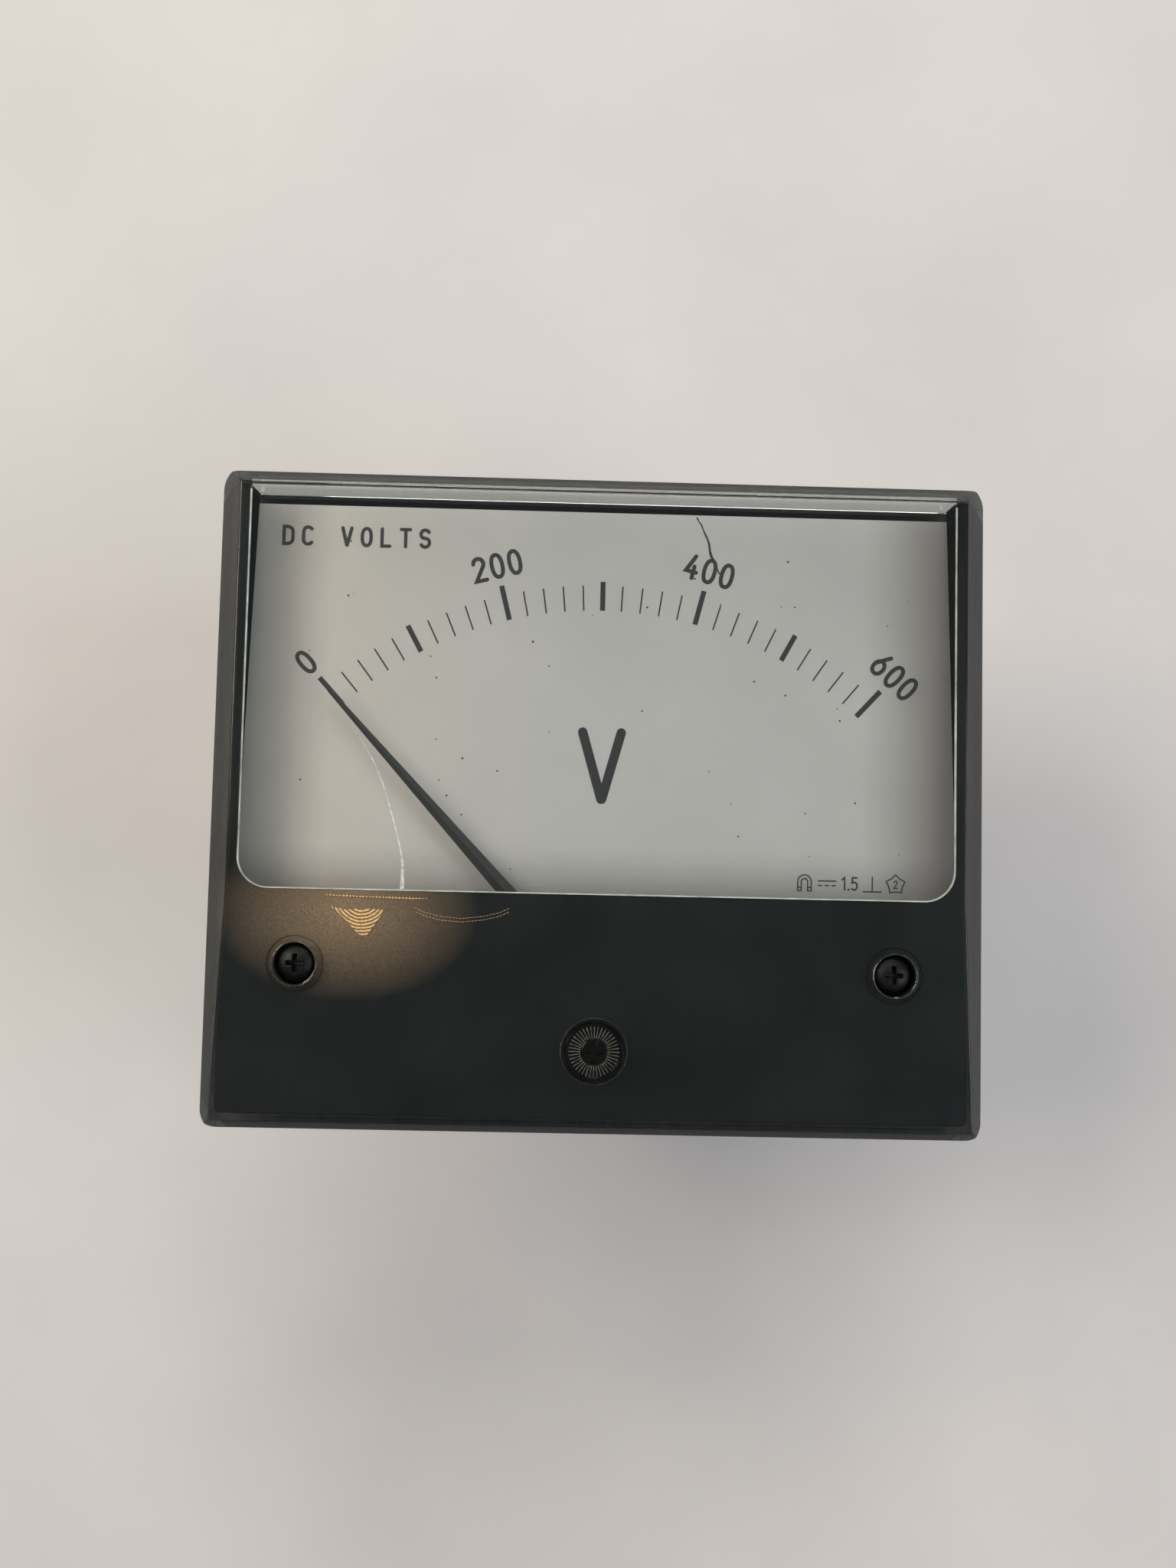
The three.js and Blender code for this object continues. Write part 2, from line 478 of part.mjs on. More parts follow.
// The jewel screw holds a cup for the staff's point; direction +1 has its slot to the front.
function jewelScrewPiece(direction, tipZ) {
  const { radius, length, slotWidth, slotDepth } = jewelScrew;
  const at = (distance) => tipZ + direction * distance;
  const mouth = at(-0.5);
  const end = at(length - 0.5);
  const slotZ = [at(length - 0.5 - slotDepth), at(length + 1)].sort((a, b) => a - b);
  return turned([[0, at(0.2)], [0.75, mouth], [radius, mouth], [radius, end], [0, end]], 0, pivotY, sides.small)
    .subtract(block(-3, 3, pivotY - slotWidth / 2, pivotY + slotWidth / 2, ...slotZ));
}

// An arm about a jewel screw with a tab that holds the hairspring's outer end.
function rearSpringLever() {
  const z0 = rearBridge.backZ + rearBridge.thickness + seat;
  const z1 = z0 + 0.5;
  return rod(0, pivotY, 2.6, z0, z1, sides.small)
    .add(block(-0.9, 0.9, pivotY - 6.2, pivotY, z0, z1))
    .add(block(-0.9, 0.9, pivotY - 6.2, pivotY - 5.6, z0, spring.rearZ + spring.height))
    .subtract(rod(0, pivotY, jewelScrew.radius + 0.2, -30, 20, sides.small));
}

function magnetCore() {
  const { radius, rearZ, frontZ, slotHalfWidth, slotRearZ, slotFrontZ } = core;
  return rod(0, pivotY, radius, rearZ, frontZ, sides.large)
    .subtract(block(-slotHalfWidth, slotHalfWidth, pivotY - 10, pivotY + 10, slotRearZ, slotFrontZ));
}

const coreStrap = () => block(
  -core.slotHalfWidth + seat, core.slotHalfWidth - seat, pivotY - yoke.innerRadius + 0.35, pivotY + yoke.innerRadius - 0.35,
  core.slotRearZ + seat, core.slotFrontZ - seat,
);

add("movement_frame", movementFrame(), "castAlloy");
add("yoke_ring", ring(0, pivotY, yoke.innerRadius, yoke.outerRadius, yoke.rearZ, yoke.frontZ, sides.large), "softIron");
add("magnet_core", magnetCore(), "magnet");
add("core_strap", coreStrap(), "brass");
add("front_bridge", frontBridge(), "castAlloy");
add("rear_bridge", rearBridgePiece(), "castAlloy");
add("front_jewel_screw", jewelScrewPiece(1, staff.frontTipZ), "brass");
add("rear_jewel_screw", jewelScrewPiece(-1, staff.rearTipZ), "brass");
add("rear_spring_lever", rearSpringLever(), "bronze");

// ---- zero lever: its fork straddles the adjuster's eccentric pin ----
function zeroLever() {
  const { backZ, thickness, slotHalfWidth, slotStart, slotEnd, halfWidth } = lever;
  const z1 = backZ + thickness;
  const arm = slab(roundedRectangle(-halfWidth, halfWidth, pivotY - slotEnd - 0.3, pivotY - 1, 0.6), backZ, z1);
  const tabX = -5.6;
  const side = block(tabX, 0, pivotY - 4.9, pivotY - 3.1, backZ, z1);
  const tab = block(tabX, tabX + 0.6, pivotY - 4.9, pivotY - 3.1, spring.frontZ, z1);
  return rod(0, pivotY, 2.9, backZ, z1, sides.medium).add(arm).add(side).add(tab)
    .subtract(block(-slotHalfWidth, slotHalfWidth, pivotY - slotEnd - 2, pivotY - slotStart, 0, 20))
    .subtract(rod(0, pivotY, jewelScrew.radius + 0.25, 0, 20, sides.small));
}

add("zero_lever", zeroLever(), "bronze");

// ---- moving coil, drawn with the pointer at 12 o'clock and turned to the zero mark ----
const moving = new THREE.Group();
moving.position.set(0, pivotY, 0);
moving.rotation.z = scaleHalfAngle;
lifted.add(moving);

// A rectangular loop about the core, in the XZ plane.
function loop(innerX, outerX, halfWidth, growth) {
  const { rearZ, frontZ, innerX: clearX } = coil;
  const inner = innerX - clearX;
  return block(-outerX, outerX, -halfWidth, halfWidth, rearZ - growth, frontZ + growth)
    .subtract(block(-innerX, innerX, -halfWidth - 1, halfWidth + 1, rearZ + 0.35 - inner, frontZ - 0.35 + inner));
}

function pivotStaff(baseZ, tipZ) {
  const towards = Math.sign(tipZ - baseZ);
  const shoulder = tipZ - towards * 1.2;
  return turned([[0, baseZ], [1.6, baseZ], [1.6, baseZ + towards * 0.4], [staff.radius, baseZ + towards * 0.4],
    [staff.radius, shoulder], [0.08, tipZ], [0, tipZ]], 0, 0, sides.tiny);
}

// A flat spiral strip.
function hairspring(z) {
  const { turns, innerRadius, outerRadius, thickness, height } = spring;
  const steps = Math.round(turns * 16);
  const edge = (offset) => Array.from({ length: steps + 1 }, (_, i) => {
    const t = i / steps;
    const r = innerRadius + (outerRadius - innerRadius) * t + offset;
    const a = t * turns * 2 * Math.PI;
    return [r * Math.cos(a), r * Math.sin(a)];
  });
  return slab(outline([...edge(0), ...edge(thickness).reverse()]), z, z + height);
}

// Hub, blade that rises past the dial's notch, and three balance arms.
function pointerPiece() {
  const { tipRadius, tipWidth, taper, bladeZ, thickness, hubZ, riseStart, riseEnd } = pointer;
  const half = (r) => (tipWidth + (tipRadius - r) * taper) / 2;
  const bladeStart = riseEnd;
  const blade = slab(outline([[-half(bladeStart), bladeStart - 0.2], [half(bladeStart), bladeStart - 0.2],
    [tipWidth / 2, tipRadius], [-tipWidth / 2, tipRadius]]), bladeZ, bladeZ + thickness);
  const rise = alongX([[riseStart - 0.5, hubZ], [riseStart, hubZ], [riseEnd, bladeZ], [riseEnd + 0.3, bladeZ],
    [riseEnd + 0.3, bladeZ + thickness], [riseEnd - 0.3, bladeZ + thickness], [riseStart - 0.4, hubZ + 0.6], [riseStart - 0.5, hubZ + 0.6]],
  -half(riseEnd), half(riseEnd));
  const { armHalfWidth: w, armLength } = balance;
  const neck = block(-half(riseEnd), half(riseEnd), 0, riseStart, hubZ, hubZ + 0.6);
  return rod(0, 0, 1.9, hubZ, hubZ + 0.6, sides.medium)
    .add(neck).add(rise).add(blade)
    .add(block(-armLength, armLength, -w, w, hubZ, hubZ + 0.6))
    .add(block(-w, w, -armLength, 0, hubZ, hubZ + 0.6))
    .subtract(rod(0, 0, staff.radius + 0.15, 0, 20, sides.tiny));
}

// A coiled balance weight, pushed onto one arm.
function balanceWeight(angle) {
  const { armHalfWidth, weightRadius, weightInner, weightLength } = balance;
  const geometry = new THREE.CylinderGeometry(weightRadius, weightRadius, weightLength, sides.small);
  geometry.translate(0, weightInner + weightLength / 2, pointer.hubZ + 0.3);
  const inner = armHalfWidth + 0.12;
  const bore = block(-inner, inner, weightInner - 1, weightInner + weightLength + 1, pointer.hubZ - 0.12, pointer.hubZ + 0.72);
  return solid(geometry).subtract(bore).rotate([0, 0, angle]);
}

add("coil_former", loop(coil.innerX, coil.formerX, coil.halfWidth, 0), "castAlloy", moving);
add("coil_winding", loop(coil.formerX + 0.05, coil.windingX, coil.windingHalfWidth, coil.windingX - coil.formerX), "copper", moving);
const coilEnd = coil.windingX - coil.formerX;
add("front_pivot", pivotStaff(coil.frontZ + coilEnd + 0.05, staff.frontTipZ), "steel", moving);
add("rear_pivot", pivotStaff(coil.rearZ - coilEnd - 0.05, staff.rearTipZ), "steel", moving);
add("pointer", pointerPiece(), "pointerBlack", moving);
add("balance_weight_left", balanceWeight(90), "brass", moving);
add("balance_weight_right", balanceWeight(-90), "brass", moving);
add("balance_weight_tail", balanceWeight(180), "brass", moving);
add("hairspring_front", hairspring(spring.frontZ), "bronze", moving);
add("hairspring_rear", hairspring(spring.rearZ), "bronze", moving);

export default meter;
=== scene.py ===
# Rectangular panel voltmeter, lying face up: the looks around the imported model.
import bpy
import bmesh
import json
import math
from mathutils import Matrix, Vector


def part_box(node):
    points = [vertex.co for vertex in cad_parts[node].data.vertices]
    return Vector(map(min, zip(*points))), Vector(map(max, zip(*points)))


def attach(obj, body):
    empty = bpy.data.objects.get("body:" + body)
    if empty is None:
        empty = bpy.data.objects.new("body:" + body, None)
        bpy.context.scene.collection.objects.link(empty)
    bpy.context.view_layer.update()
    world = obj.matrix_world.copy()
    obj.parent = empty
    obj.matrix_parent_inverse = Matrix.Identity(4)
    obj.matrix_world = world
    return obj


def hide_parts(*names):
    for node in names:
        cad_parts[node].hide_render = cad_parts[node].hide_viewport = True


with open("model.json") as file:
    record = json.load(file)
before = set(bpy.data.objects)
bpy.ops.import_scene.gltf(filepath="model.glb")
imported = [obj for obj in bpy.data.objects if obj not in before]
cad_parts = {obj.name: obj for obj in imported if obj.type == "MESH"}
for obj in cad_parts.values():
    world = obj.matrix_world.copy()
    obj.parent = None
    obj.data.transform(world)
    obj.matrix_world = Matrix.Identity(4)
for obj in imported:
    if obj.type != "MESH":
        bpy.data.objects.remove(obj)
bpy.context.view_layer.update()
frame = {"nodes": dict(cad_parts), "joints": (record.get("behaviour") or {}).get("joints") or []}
mm = 0.001
joints = {joint["name"]: joint for joint in frame["joints"]}


def hexColour(code):
    # sRGB hex to the linear values that a shader wants
    parts = [int(code[i:i + 2], 16) / 255 for i in (1, 3, 5)]
    linear = [p / 12.92 if p <= 0.04045 else ((p + 0.055) / 1.055) ** 2.4 for p in parts]
    return (*linear, 1.0)


def addNode(tree, kind, links=None, values=None, stops=None, **settings):
    # one node of a shader or geometry tree, with its attributes, socket values, links and colour stops
    node = tree.nodes.new(kind)
    for key, value in settings.items():
        setattr(node, key, value)
    for socket, value in (values or {}).items():
        node.inputs[socket].default_value = value
    for socket, source in (links or {}).items():
        tree.links.new(source, node.inputs[socket])
    for i, (position, colour) in enumerate(stops or []):
        ends = node.color_ramp.elements
        element = ends[i] if i < 2 else ends.new(position)
        element.position = position
        element.color = hexColour(colour)
    return node


def span(fromMin, fromMax, toMin, toMax):
    return {"From Min": fromMin, "From Max": fromMax, "To Min": toMin, "To Max": toMax}


def newMaterial(name, colour, roughness, **shader):
    material = bpy.data.materials.new(name)
    material.use_nodes = True
    tree = material.node_tree
    surface = tree.nodes["Principled BSDF"]
    surface.inputs["Base Color"].default_value = hexColour(colour)
    surface.inputs["Roughness"].default_value = roughness
    for key, value in shader.items():
        surface.inputs[key.replace("_", " ")].default_value = value
    return material, tree, surface


def surfaced(material, colour, gloss, height, depth):
    # colour, roughness and a relief of depth mm, linked to the material's shader
    tree = material.node_tree
    lift = addNode(tree, "ShaderNodeBump", {"Height": height}, {"Distance": depth * mm})
    inputs = tree.nodes["Principled BSDF"].inputs
    tree.links.new(colour, inputs["Base Color"])
    tree.links.new(gloss, inputs["Roughness"])
    tree.links.new(lift.outputs["Normal"], inputs["Normal"])
    return material


def boxMm(node):
    low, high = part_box(node)
    return low / mm, high / mm


def centreMm(node):
    low, high = boxMm(node)
    return (low + high) / 2


def addObject(name, mesh):
    piece = bpy.data.objects.new(name, mesh)
    bpy.context.scene.collection.objects.link(piece)
    return piece


def meshPiece(name, verts, faces, scale=mm):
    mesh = bpy.data.meshes.new(name)
    mesh.from_pydata([Vector(v) * scale for v in verts], [], faces)
    mesh.update()
    return addObject(name, mesh)


def finishedMesh(piece):
    # bake the piece's modifiers into its mesh
    bpy.context.view_layer.update()
    graph = bpy.context.evaluated_depsgraph_get()
    mesh = bpy.data.meshes.new_from_object(piece.evaluated_get(graph), depsgraph=graph)
    piece.modifiers.clear()
    old = piece.data
    piece.data = mesh
    mesh.name = old.name
    bpy.data.meshes.remove(old)
    return piece


def booleanWith(piece, cutters, operation="DIFFERENCE"):
    for cutter in cutters:
        step = piece.modifiers.new("cut", "BOOLEAN")
        step.operation = operation
        step.solver = "EXACT"
        step.material_mode = "TRANSFER"
        step.object = cutter
    finishedMesh(piece)
    for cutter in cutters:
        bpy.data.objects.remove(cutter)
    return piece


def sealed(piece):
    # weld the hair-thin gaps that cuts and bevels leave, and fill what is still open
    mesh = bmesh.new()
    mesh.from_mesh(piece.data)
    for reach in (0.002, 0.01, 0.04):
        bmesh.ops.remove_doubles(mesh, verts=[vert for vert in mesh.verts if vert.is_boundary],
                                 dist=reach * mm)
    bmesh.ops.holes_fill(mesh, edges=[edge for edge in mesh.edges if edge.is_boundary], sides=0)
    mesh.to_mesh(piece.data)
    mesh.free()
    return piece


def bevelled(piece, width, degrees=35):
    step = piece.modifiers.new("edges", "BEVEL")
    step.width = width * mm
    step.segments = 2
    step.angle_limit = math.radians(degrees)
    step.use_clamp_overlap = False
    step.miter_outer = "MITER_ARC"
    return sealed(finishedMesh(piece))


def joined(name, pieces):
    # several closed solids in one mesh
    mesh = bmesh.new()
    for piece in pieces:
        mesh.from_mesh(piece.data)
        bpy.data.objects.remove(piece)
    data = bpy.data.meshes.new(name)
    mesh.to_mesh(data)
    mesh.free()
    return addObject(name, data)


def coated(piece, material):
    # one material all over, which a later cut hands on to the faces that it makes
    piece.data.materials.clear()
    piece.data.materials.append(material)
    for face in piece.data.polygons:
        face.material_index = 0
    return piece


def placed(piece, x=0.0, y=0.0, z=0.0, turn=0.0):
    piece.data.transform(Matrix.Translation(Vector((x, y, z)) * mm) @ Matrix.Rotation(turn, 4, "Z"))
    return piece


def finish(piece, body, material, replaced=(), smooth=32, flatFaces=False):
    for polygon in piece.data.polygons:
        polygon.use_smooth = True
    piece.data.set_sharp_from_angle(angle=math.radians(smooth))
    if flatFaces:
        step = piece.modifiers.new("normals", "WEIGHTED_NORMAL")
        step.keep_sharp = True
        finishedMesh(piece)
    if material:
        piece.data.materials.clear()
        piece.data.materials.append(material)
    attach(piece, body)
    if replaced:
        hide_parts(*replaced)
    return piece


def lathed(name, profile, x=0.0, y=0.0, segments=64):
    # a [radius, z] profile in mm, drawn upwards, turned about an upright axis; it meets the axis or is closed
    verts, faces, rings = [], [], []
    for radius, z in profile:
        if radius < 1e-6:
            rings.append([len(verts)] * segments)
            verts.append((x, y, z))
        else:
            start = len(verts)
            rings.append(list(range(start, start + segments)))
            for i in range(segments):
                a = 2 * math.pi * i / segments
                verts.append((x + radius * math.cos(a), y + radius * math.sin(a), z))
    pairs = list(zip(rings, rings[1:]))
    if profile[0][0] > 1e-6:
        pairs.append((rings[-1], rings[0]))
    for low, high in pairs:
        for i in range(segments):
            j = (i + 1) % segments
            corners = [low[i], low[j], high[j], high[i]]
            face = [c for k, c in enumerate(corners) if c not in corners[:k]]
            if len(face) > 2:
                faces.append(face)
    piece = meshPiece(name, verts, faces)
    facesOut(piece)
    return piece


def facesOut(piece):
    mesh = bmesh.new()
    mesh.from_mesh(piece.data)
    bmesh.ops.recalc_face_normals(mesh, faces=mesh.faces)
    mesh.to_mesh(piece.data)
    mesh.free()


def rod(x, y, radius, z0, z1, segments=64):
    return lathed("rod", [(0, z0), (radius, z0), (radius, z1), (0, z1)], x, y, segments)


def tube(name, inner, outer, z0, z1, x=0.0, y=0.0, segments=64):
    return lathed(name, [(inner, z0), (outer, z0), (outer, z1), (inner, z1)], x, y, segments)


def prism(name, outline, z0, z1):
    # a closed outline in mm, anticlockwise, between two heights
    n = len(outline)
    verts = [(px, py, z0) for px, py in outline] + [(px, py, z1) for px, py in outline]
    faces = [list(range(n))[::-1], list(range(n, 2 * n))]
    faces += [[i, (i + 1) % n, n + (i + 1) % n, n + i] for i in range(n)]
    return meshPiece(name, verts, faces)


def arcPoints(cx, cy, rx, ry, startDegrees, endDegrees, count):
    angles = [math.radians(startDegrees + (endDegrees - startDegrees) * i / (count - 1))
              for i in range(count)]
    return [(cx + rx * math.cos(a), cy + ry * math.sin(a)) for a in angles]


def roundedOutline(x0, x1, y0, y1, radius, count=9):
    corners = [(x0, y0, 1, 1, 180), (x1, y0, -1, 1, 270), (x1, y1, -1, -1, 0), (x0, y1, 1, -1, 90)]
    points = []
    for cx, cy, sx, sy, start in corners:
        points += arcPoints(cx + sx * radius, cy + sy * radius, radius, radius, start, start + 90, count)
    return points


def convexBody(name, planes):
    # the solid inside a set of planes (normal, distance), in mm
    points = []
    for i, (n1, d1) in enumerate(planes):
        for j, (n2, d2) in enumerate(planes[:i]):
            for n3, d3 in planes[:j]:
                rows = Matrix((n1, n2, n3))
                if abs(rows.determinant()) < 1e-6:
                    continue
                p = rows.inverted() @ Vector((d1, d2, d3))
                if all(Vector(n).dot(p) <= d + 1e-3 for n, d in planes):
                    if all((p - q).length > 1e-2 for q in points):
                        points.append(p)
    mesh = bmesh.new()
    for p in points:
        mesh.verts.new(p * mm)
    bmesh.ops.convex_hull(mesh, input=mesh.verts)
    bmesh.ops.dissolve_limit(mesh, angle_limit=0.002, verts=mesh.verts, edges=mesh.edges)
    bmesh.ops.recalc_face_normals(mesh, faces=mesh.faces)
    data = bpy.data.meshes.new(name)
    mesh.to_mesh(data)
    mesh.free()
    return addObject(name, data)


def geometryTree(name, inputs):
    # a Geometry Nodes tree with named inputs
    tree = bpy.data.node_groups.new(name, "GeometryNodeTree")
    tree.interface.new_socket("Geometry", in_out="OUTPUT", socket_type="NodeSocketGeometry")
    for label, kind in inputs.items():
        tree.interface.new_socket(label, in_out="INPUT", socket_type="NodeSocket" + kind)
    return tree, tree.nodes.new("NodeGroupInput").outputs


def endTree(tree, geometry, material):
    real = addNode(tree, "GeometryNodeRealizeInstances", {"Geometry": geometry})
    dressed = addNode(tree, "GeometryNodeSetMaterial", {"Geometry": real.outputs[0], "Material": material})
    addNode(tree, "NodeGroupOutput", {0: dressed.outputs[0]})


def stoodRound(tree, count, angle, reach, centre, item, size):
    # copies of an item at the ends of count spokes about a centre, each turned with its spoke
    turn = addNode(tree, "ShaderNodeCombineXYZ", {"Z": angle}).outputs[0]
    spoke = addNode(tree, "ShaderNodeVectorRotate", {"Vector": reach, "Angle": angle},
                    rotation_type="Z_AXIS").outputs[0]
    place = addNode(tree, "ShaderNodeVectorMath", {0: spoke, 1: centre}, operation="ADD").outputs[0]
    row = addNode(tree, "GeometryNodeMeshLine", {"Count": count}).outputs[0]
    points = addNode(tree, "GeometryNodeSetPosition", {"Geometry": row, "Position": place}).outputs[0]
    return addNode(tree, "GeometryNodeInstanceOnPoints", {
        "Points": points, "Instance": item, "Rotation": turn, "Scale": size}).outputs[0]


def grown(name, tree, values):
    # a piece made by a tree, its inputs set by their identifiers, as a plain mesh
    piece = addObject(name, bpy.data.meshes.new(name))
    step = piece.modifiers.new("grow", "NODES")
    step.node_group = tree
    for item in tree.interface.items_tree:
        if item.in_out == "INPUT":
            step[item.identifier] = values[item.name]
    return finishedMesh(piece)


# camera close above the face
cameraSettings = {
    "placeMm": (-4.33, -7.18, 235.4), "look": (0.017326, 0.058666, -0.998127),
    "up": (-0.023562, 0.998024, 0.058251), "lens": 29.13, "sensor": 36.0,
}


def makeCamera():
    data = bpy.data.cameras.new("camera")
    data.sensor_fit = "AUTO"
    data.sensor_width = cameraSettings["sensor"]
    data.lens = cameraSettings["lens"]
    data.clip_start = 0.01
    camera = addObject("camera", data)
    back = -Vector(cameraSettings["look"]).normalized()
    up = Vector(cameraSettings["up"]).normalized()
    right = up.cross(back)
    turn = Matrix((right, up, back)).transposed().to_4x4()
    camera.matrix_world = Matrix.Translation(Vector(cameraSettings["placeMm"]) * mm) @ turn
    bpy.context.scene.camera = camera


makeCamera()
print("camera placed")

# the table and the softboxes
stageSettings = {
    "floorSize": 3.0, "floorColours": ("#D9D6D4", "#E3E0DD"), "patch": 0.06,
    "worldColour": "#C4C9CE", "worldStrength": 0.3,
}
lampSettings = {
    # place and target in metres, size, watts, colour
    "key_softbox": ((-1.15, 0.5, 1.15), 0.9, 16.0, "#FFF3E4"),
    "fill_softbox": ((1.2, -0.25, 1.05), 0.9, 8.0, "#EEF3FF"),
    "far_softbox": ((0.1, 1.35, 1.1), 0.9, 12.5, "#FFFAF4"),
}


def makeStage():
    half = stageSettings["floorSize"] / 2
    corners = [(-half, -half, 0), (half, -half, 0), (half, half, 0), (-half, half, 0)]
    floor = meshPiece("floor", corners, [(0, 1, 2, 3)], 1.0)
    # matt white laminate, faintly clouded by use
    material, tree, surface = newMaterial("matt_table_laminate", stageSettings["floorColours"][0], 0.6)
    place = addNode(tree, "ShaderNodeTexCoord").outputs["Object"]
    cloud = addNode(tree, "ShaderNodeTexNoise", {"Vector": place},
                    {"Scale": 1 / stageSettings["patch"], "Detail": 4.0})
    tone = addNode(tree, "ShaderNodeValToRGB", {"Fac": cloud.outputs["Fac"]},
                   stops=list(zip((0.3, 0.7), stageSettings["floorColours"])))
    tree.links.new(tone.outputs["Color"], surface.inputs["Base Color"])
    floor.data.materials.append(material)
    world = bpy.data.worlds.new("studio")
    bpy.context.scene.world = world
    world.use_nodes = True
    background = world.node_tree.nodes["Background"]
    background.inputs["Color"].default_value = hexColour(stageSettings["worldColour"])
    background.inputs["Strength"].default_value = stageSettings["worldStrength"]
    for name, (place, size, watts, colour) in lampSettings.items():
        data = bpy.data.lights.new(name, "AREA")
        data.shape = "SQUARE"
        data.size = size
        data.energy = watts
        data.color = hexColour(colour)[:3]
        lamp = addObject(name, data)
        lamp.location = place
        lamp.rotation_euler = (Vector((0, 0, 0.06)) - Vector(place)).to_track_quat("-Z", "Y").to_euler()
    bpy.context.scene.view_settings.view_transform = "Standard"


makeStage()
print("table and softboxes ready")

# plain finishes, one entry each: two shades that drift over patch mm, a roughness range and a grain in mm
# that lifts the surface by depth mm; stretch draws the grain out, cells makes it pores
finishLooks = {
    # neoprene foam, skived: dull and full of pores
    "foam_rubber": dict(name="neoprene_foam", colours=("#191918", "#272724"), patch=5,
                        roughness=(0.82, 0.95), grain=0.45, depth=0.12, cells=True),
    # phenolic moulding: near black, satin, with the faint orange peel of its mould
    "black_moulding": dict(name="moulded_phenolic", colours=("#111213", "#1C1D1E"), patch=9,
                           roughness=(0.36, 0.52), grain=0.6, depth=0.012),
    # black oxide on turned steel: oily black with worn spots
    "black_steel": dict(name="black_oxide_steel", colours=("#060607", "#131314"), patch=0.8,
                        roughness=(0.3, 0.5), grain=0.15, depth=0.01, metallic=0.3),
    # bright zinc on steel: cool grey, slightly milky
    "plated_steel": dict(name="zinc_plated_steel", colours=("#8F9496", "#B4B8BA"), patch=1.5,
                         roughness=(0.22, 0.38), grain=0.25, depth=0.004, metallic=1.0),
    # turned soft iron: grey, dull, with tool lines round the axis
    "soft_iron": dict(name="turned_soft_iron", colours=("#5C6062", "#777B7D"), patch=2,
                      roughness=(0.35, 0.5), grain=0.3, depth=0.006, metallic=1.0, stretch=(0.3, 0.3, 4)),
    # cast magnet alloy: dark grey with a ground, grainy skin
    "magnet_alloy": dict(name="ground_magnet_alloy", colours=("#3E4043", "#56595C"), patch=1.5,
                         roughness=(0.45, 0.62), grain=0.2, depth=0.02, metallic=0.9),
    # zinc die casting: pale grey, fine pitted skin
    "cast_alloy": dict(name="zinc_die_casting", colours=("#8E9294", "#AEB1B2"), patch=3,
                       roughness=(0.42, 0.58), grain=0.35, depth=0.015, metallic=1.0),
    # turned brass: yellow, darker where it has been handled
    "brass": dict(name="turned_brass", colours=("#9A7836", "#C9A458"), patch=2.2, roughness=(0.24, 0.42),
                  grain=0.25, depth=0.006, metallic=1.0, stretch=(1, 1, 3)),
    # rolled phosphor bronze: warm brown metal with rolling lines
    "bronze_strip": dict(name="rolled_phosphor_bronze", colours=("#8D5F34", "#B5814A"), patch=1.5,
                         roughness=(0.28, 0.4), grain=0.2, depth=0.004, metallic=1.0, stretch=(0.3, 3, 1)),
    # enamelled copper wire laid side by side: red-brown, glossy, in 0.2 mm lines
    "enamelled_copper": dict(name="enamelled_copper_wire", colours=("#5E2210", "#9C4A26"), patch=1.0,
                             roughness=(0.2, 0.35), grain=0.2, depth=0.03, metallic=0.5, stretch=(1, 6, 1)),
    # stamped aluminium under matt black paint: the pointer
    "pointer_paint": dict(name="matt_black_pointer_paint", colours=("#060607", "#0D0D0E"), patch=1.2,
                          roughness=(0.5, 0.68), grain=0.12, depth=0.006),
    # paper laminate: brown, its fibres showing under the resin
    "paper_laminate": dict(name="phenolic_paper_laminate", colours=("#7C5A2C", "#9A7440"), patch=4,
                           roughness=(0.45, 0.62), grain=0.5, depth=0.01, stretch=(0.4, 2.5, 1)),
    # baked coating on a resistor: pale green, eggshell
    "resistor_coat": dict(name="baked_resistor_coating", colours=("#94AFA5", "#B2C8BF"), patch=2,
                          roughness=(0.35, 0.5), grain=0.4, depth=0.02),
    # extruded sleeving, red and black: smooth, slightly waxy
    "red_sleeve": dict(name="red_sleeving", colours=("#7E1713", "#9A2620"), patch=2, roughness=(0.38, 0.5),
                       grain=0.4, depth=0.006),
    "black_sleeve": dict(name="black_sleeving", colours=("#101011", "#1B1B1C"), patch=2,
                         roughness=(0.38, 0.5), grain=0.4, depth=0.006),
}


def makeFinish(look):
    material, tree, _ = newMaterial(look["name"], look["colours"][0], look["roughness"][0],
                                    Metallic=look.get("metallic", 0.0))
    place = addNode(tree, "ShaderNodeTexCoord").outputs["Object"]
    drawn = addNode(tree, "ShaderNodeMapping", {"Vector": place}, {"Scale": look.get("stretch", (1, 1, 1))})
    patch = addNode(tree, "ShaderNodeTexNoise", {"Vector": place},
                    {"Scale": 1 / (look["patch"] * mm), "Detail": 4.0})
    kind, output = ("ShaderNodeTexVoronoi", "Distance") if look.get("cells") else ("ShaderNodeTexNoise",
                                                                                   "Fac")
    grain = addNode(tree, kind, {"Vector": drawn.outputs[0]},
                    {"Scale": 1 / (look["grain"] * mm)}).outputs[output]
    tone = addNode(tree, "ShaderNodeValToRGB", {"Fac": patch.outputs["Fac"]},
                   stops=list(zip((0.32, 0.68), look["colours"])))
    low, high = look["roughness"]
    gloss = addNode(tree, "ShaderNodeMapRange", {"Value": grain},
                    span(0.3, 0.7, low, high))
    return surfaced(material, tone.outputs["Color"], gloss.outputs[0], grain, look["depth"])


finishes = {slot: makeFinish(look) for slot, look in finishLooks.items()}

acrylicSettings = {
    "tint": "#F1F5F3", "smokeTint": "#45453E", "roughness": 0.02, "ior": 1.49, "lampTint": "#F3F6F4",
    "rippleMm": 6.0, "rippleDepth": 0.004,
}


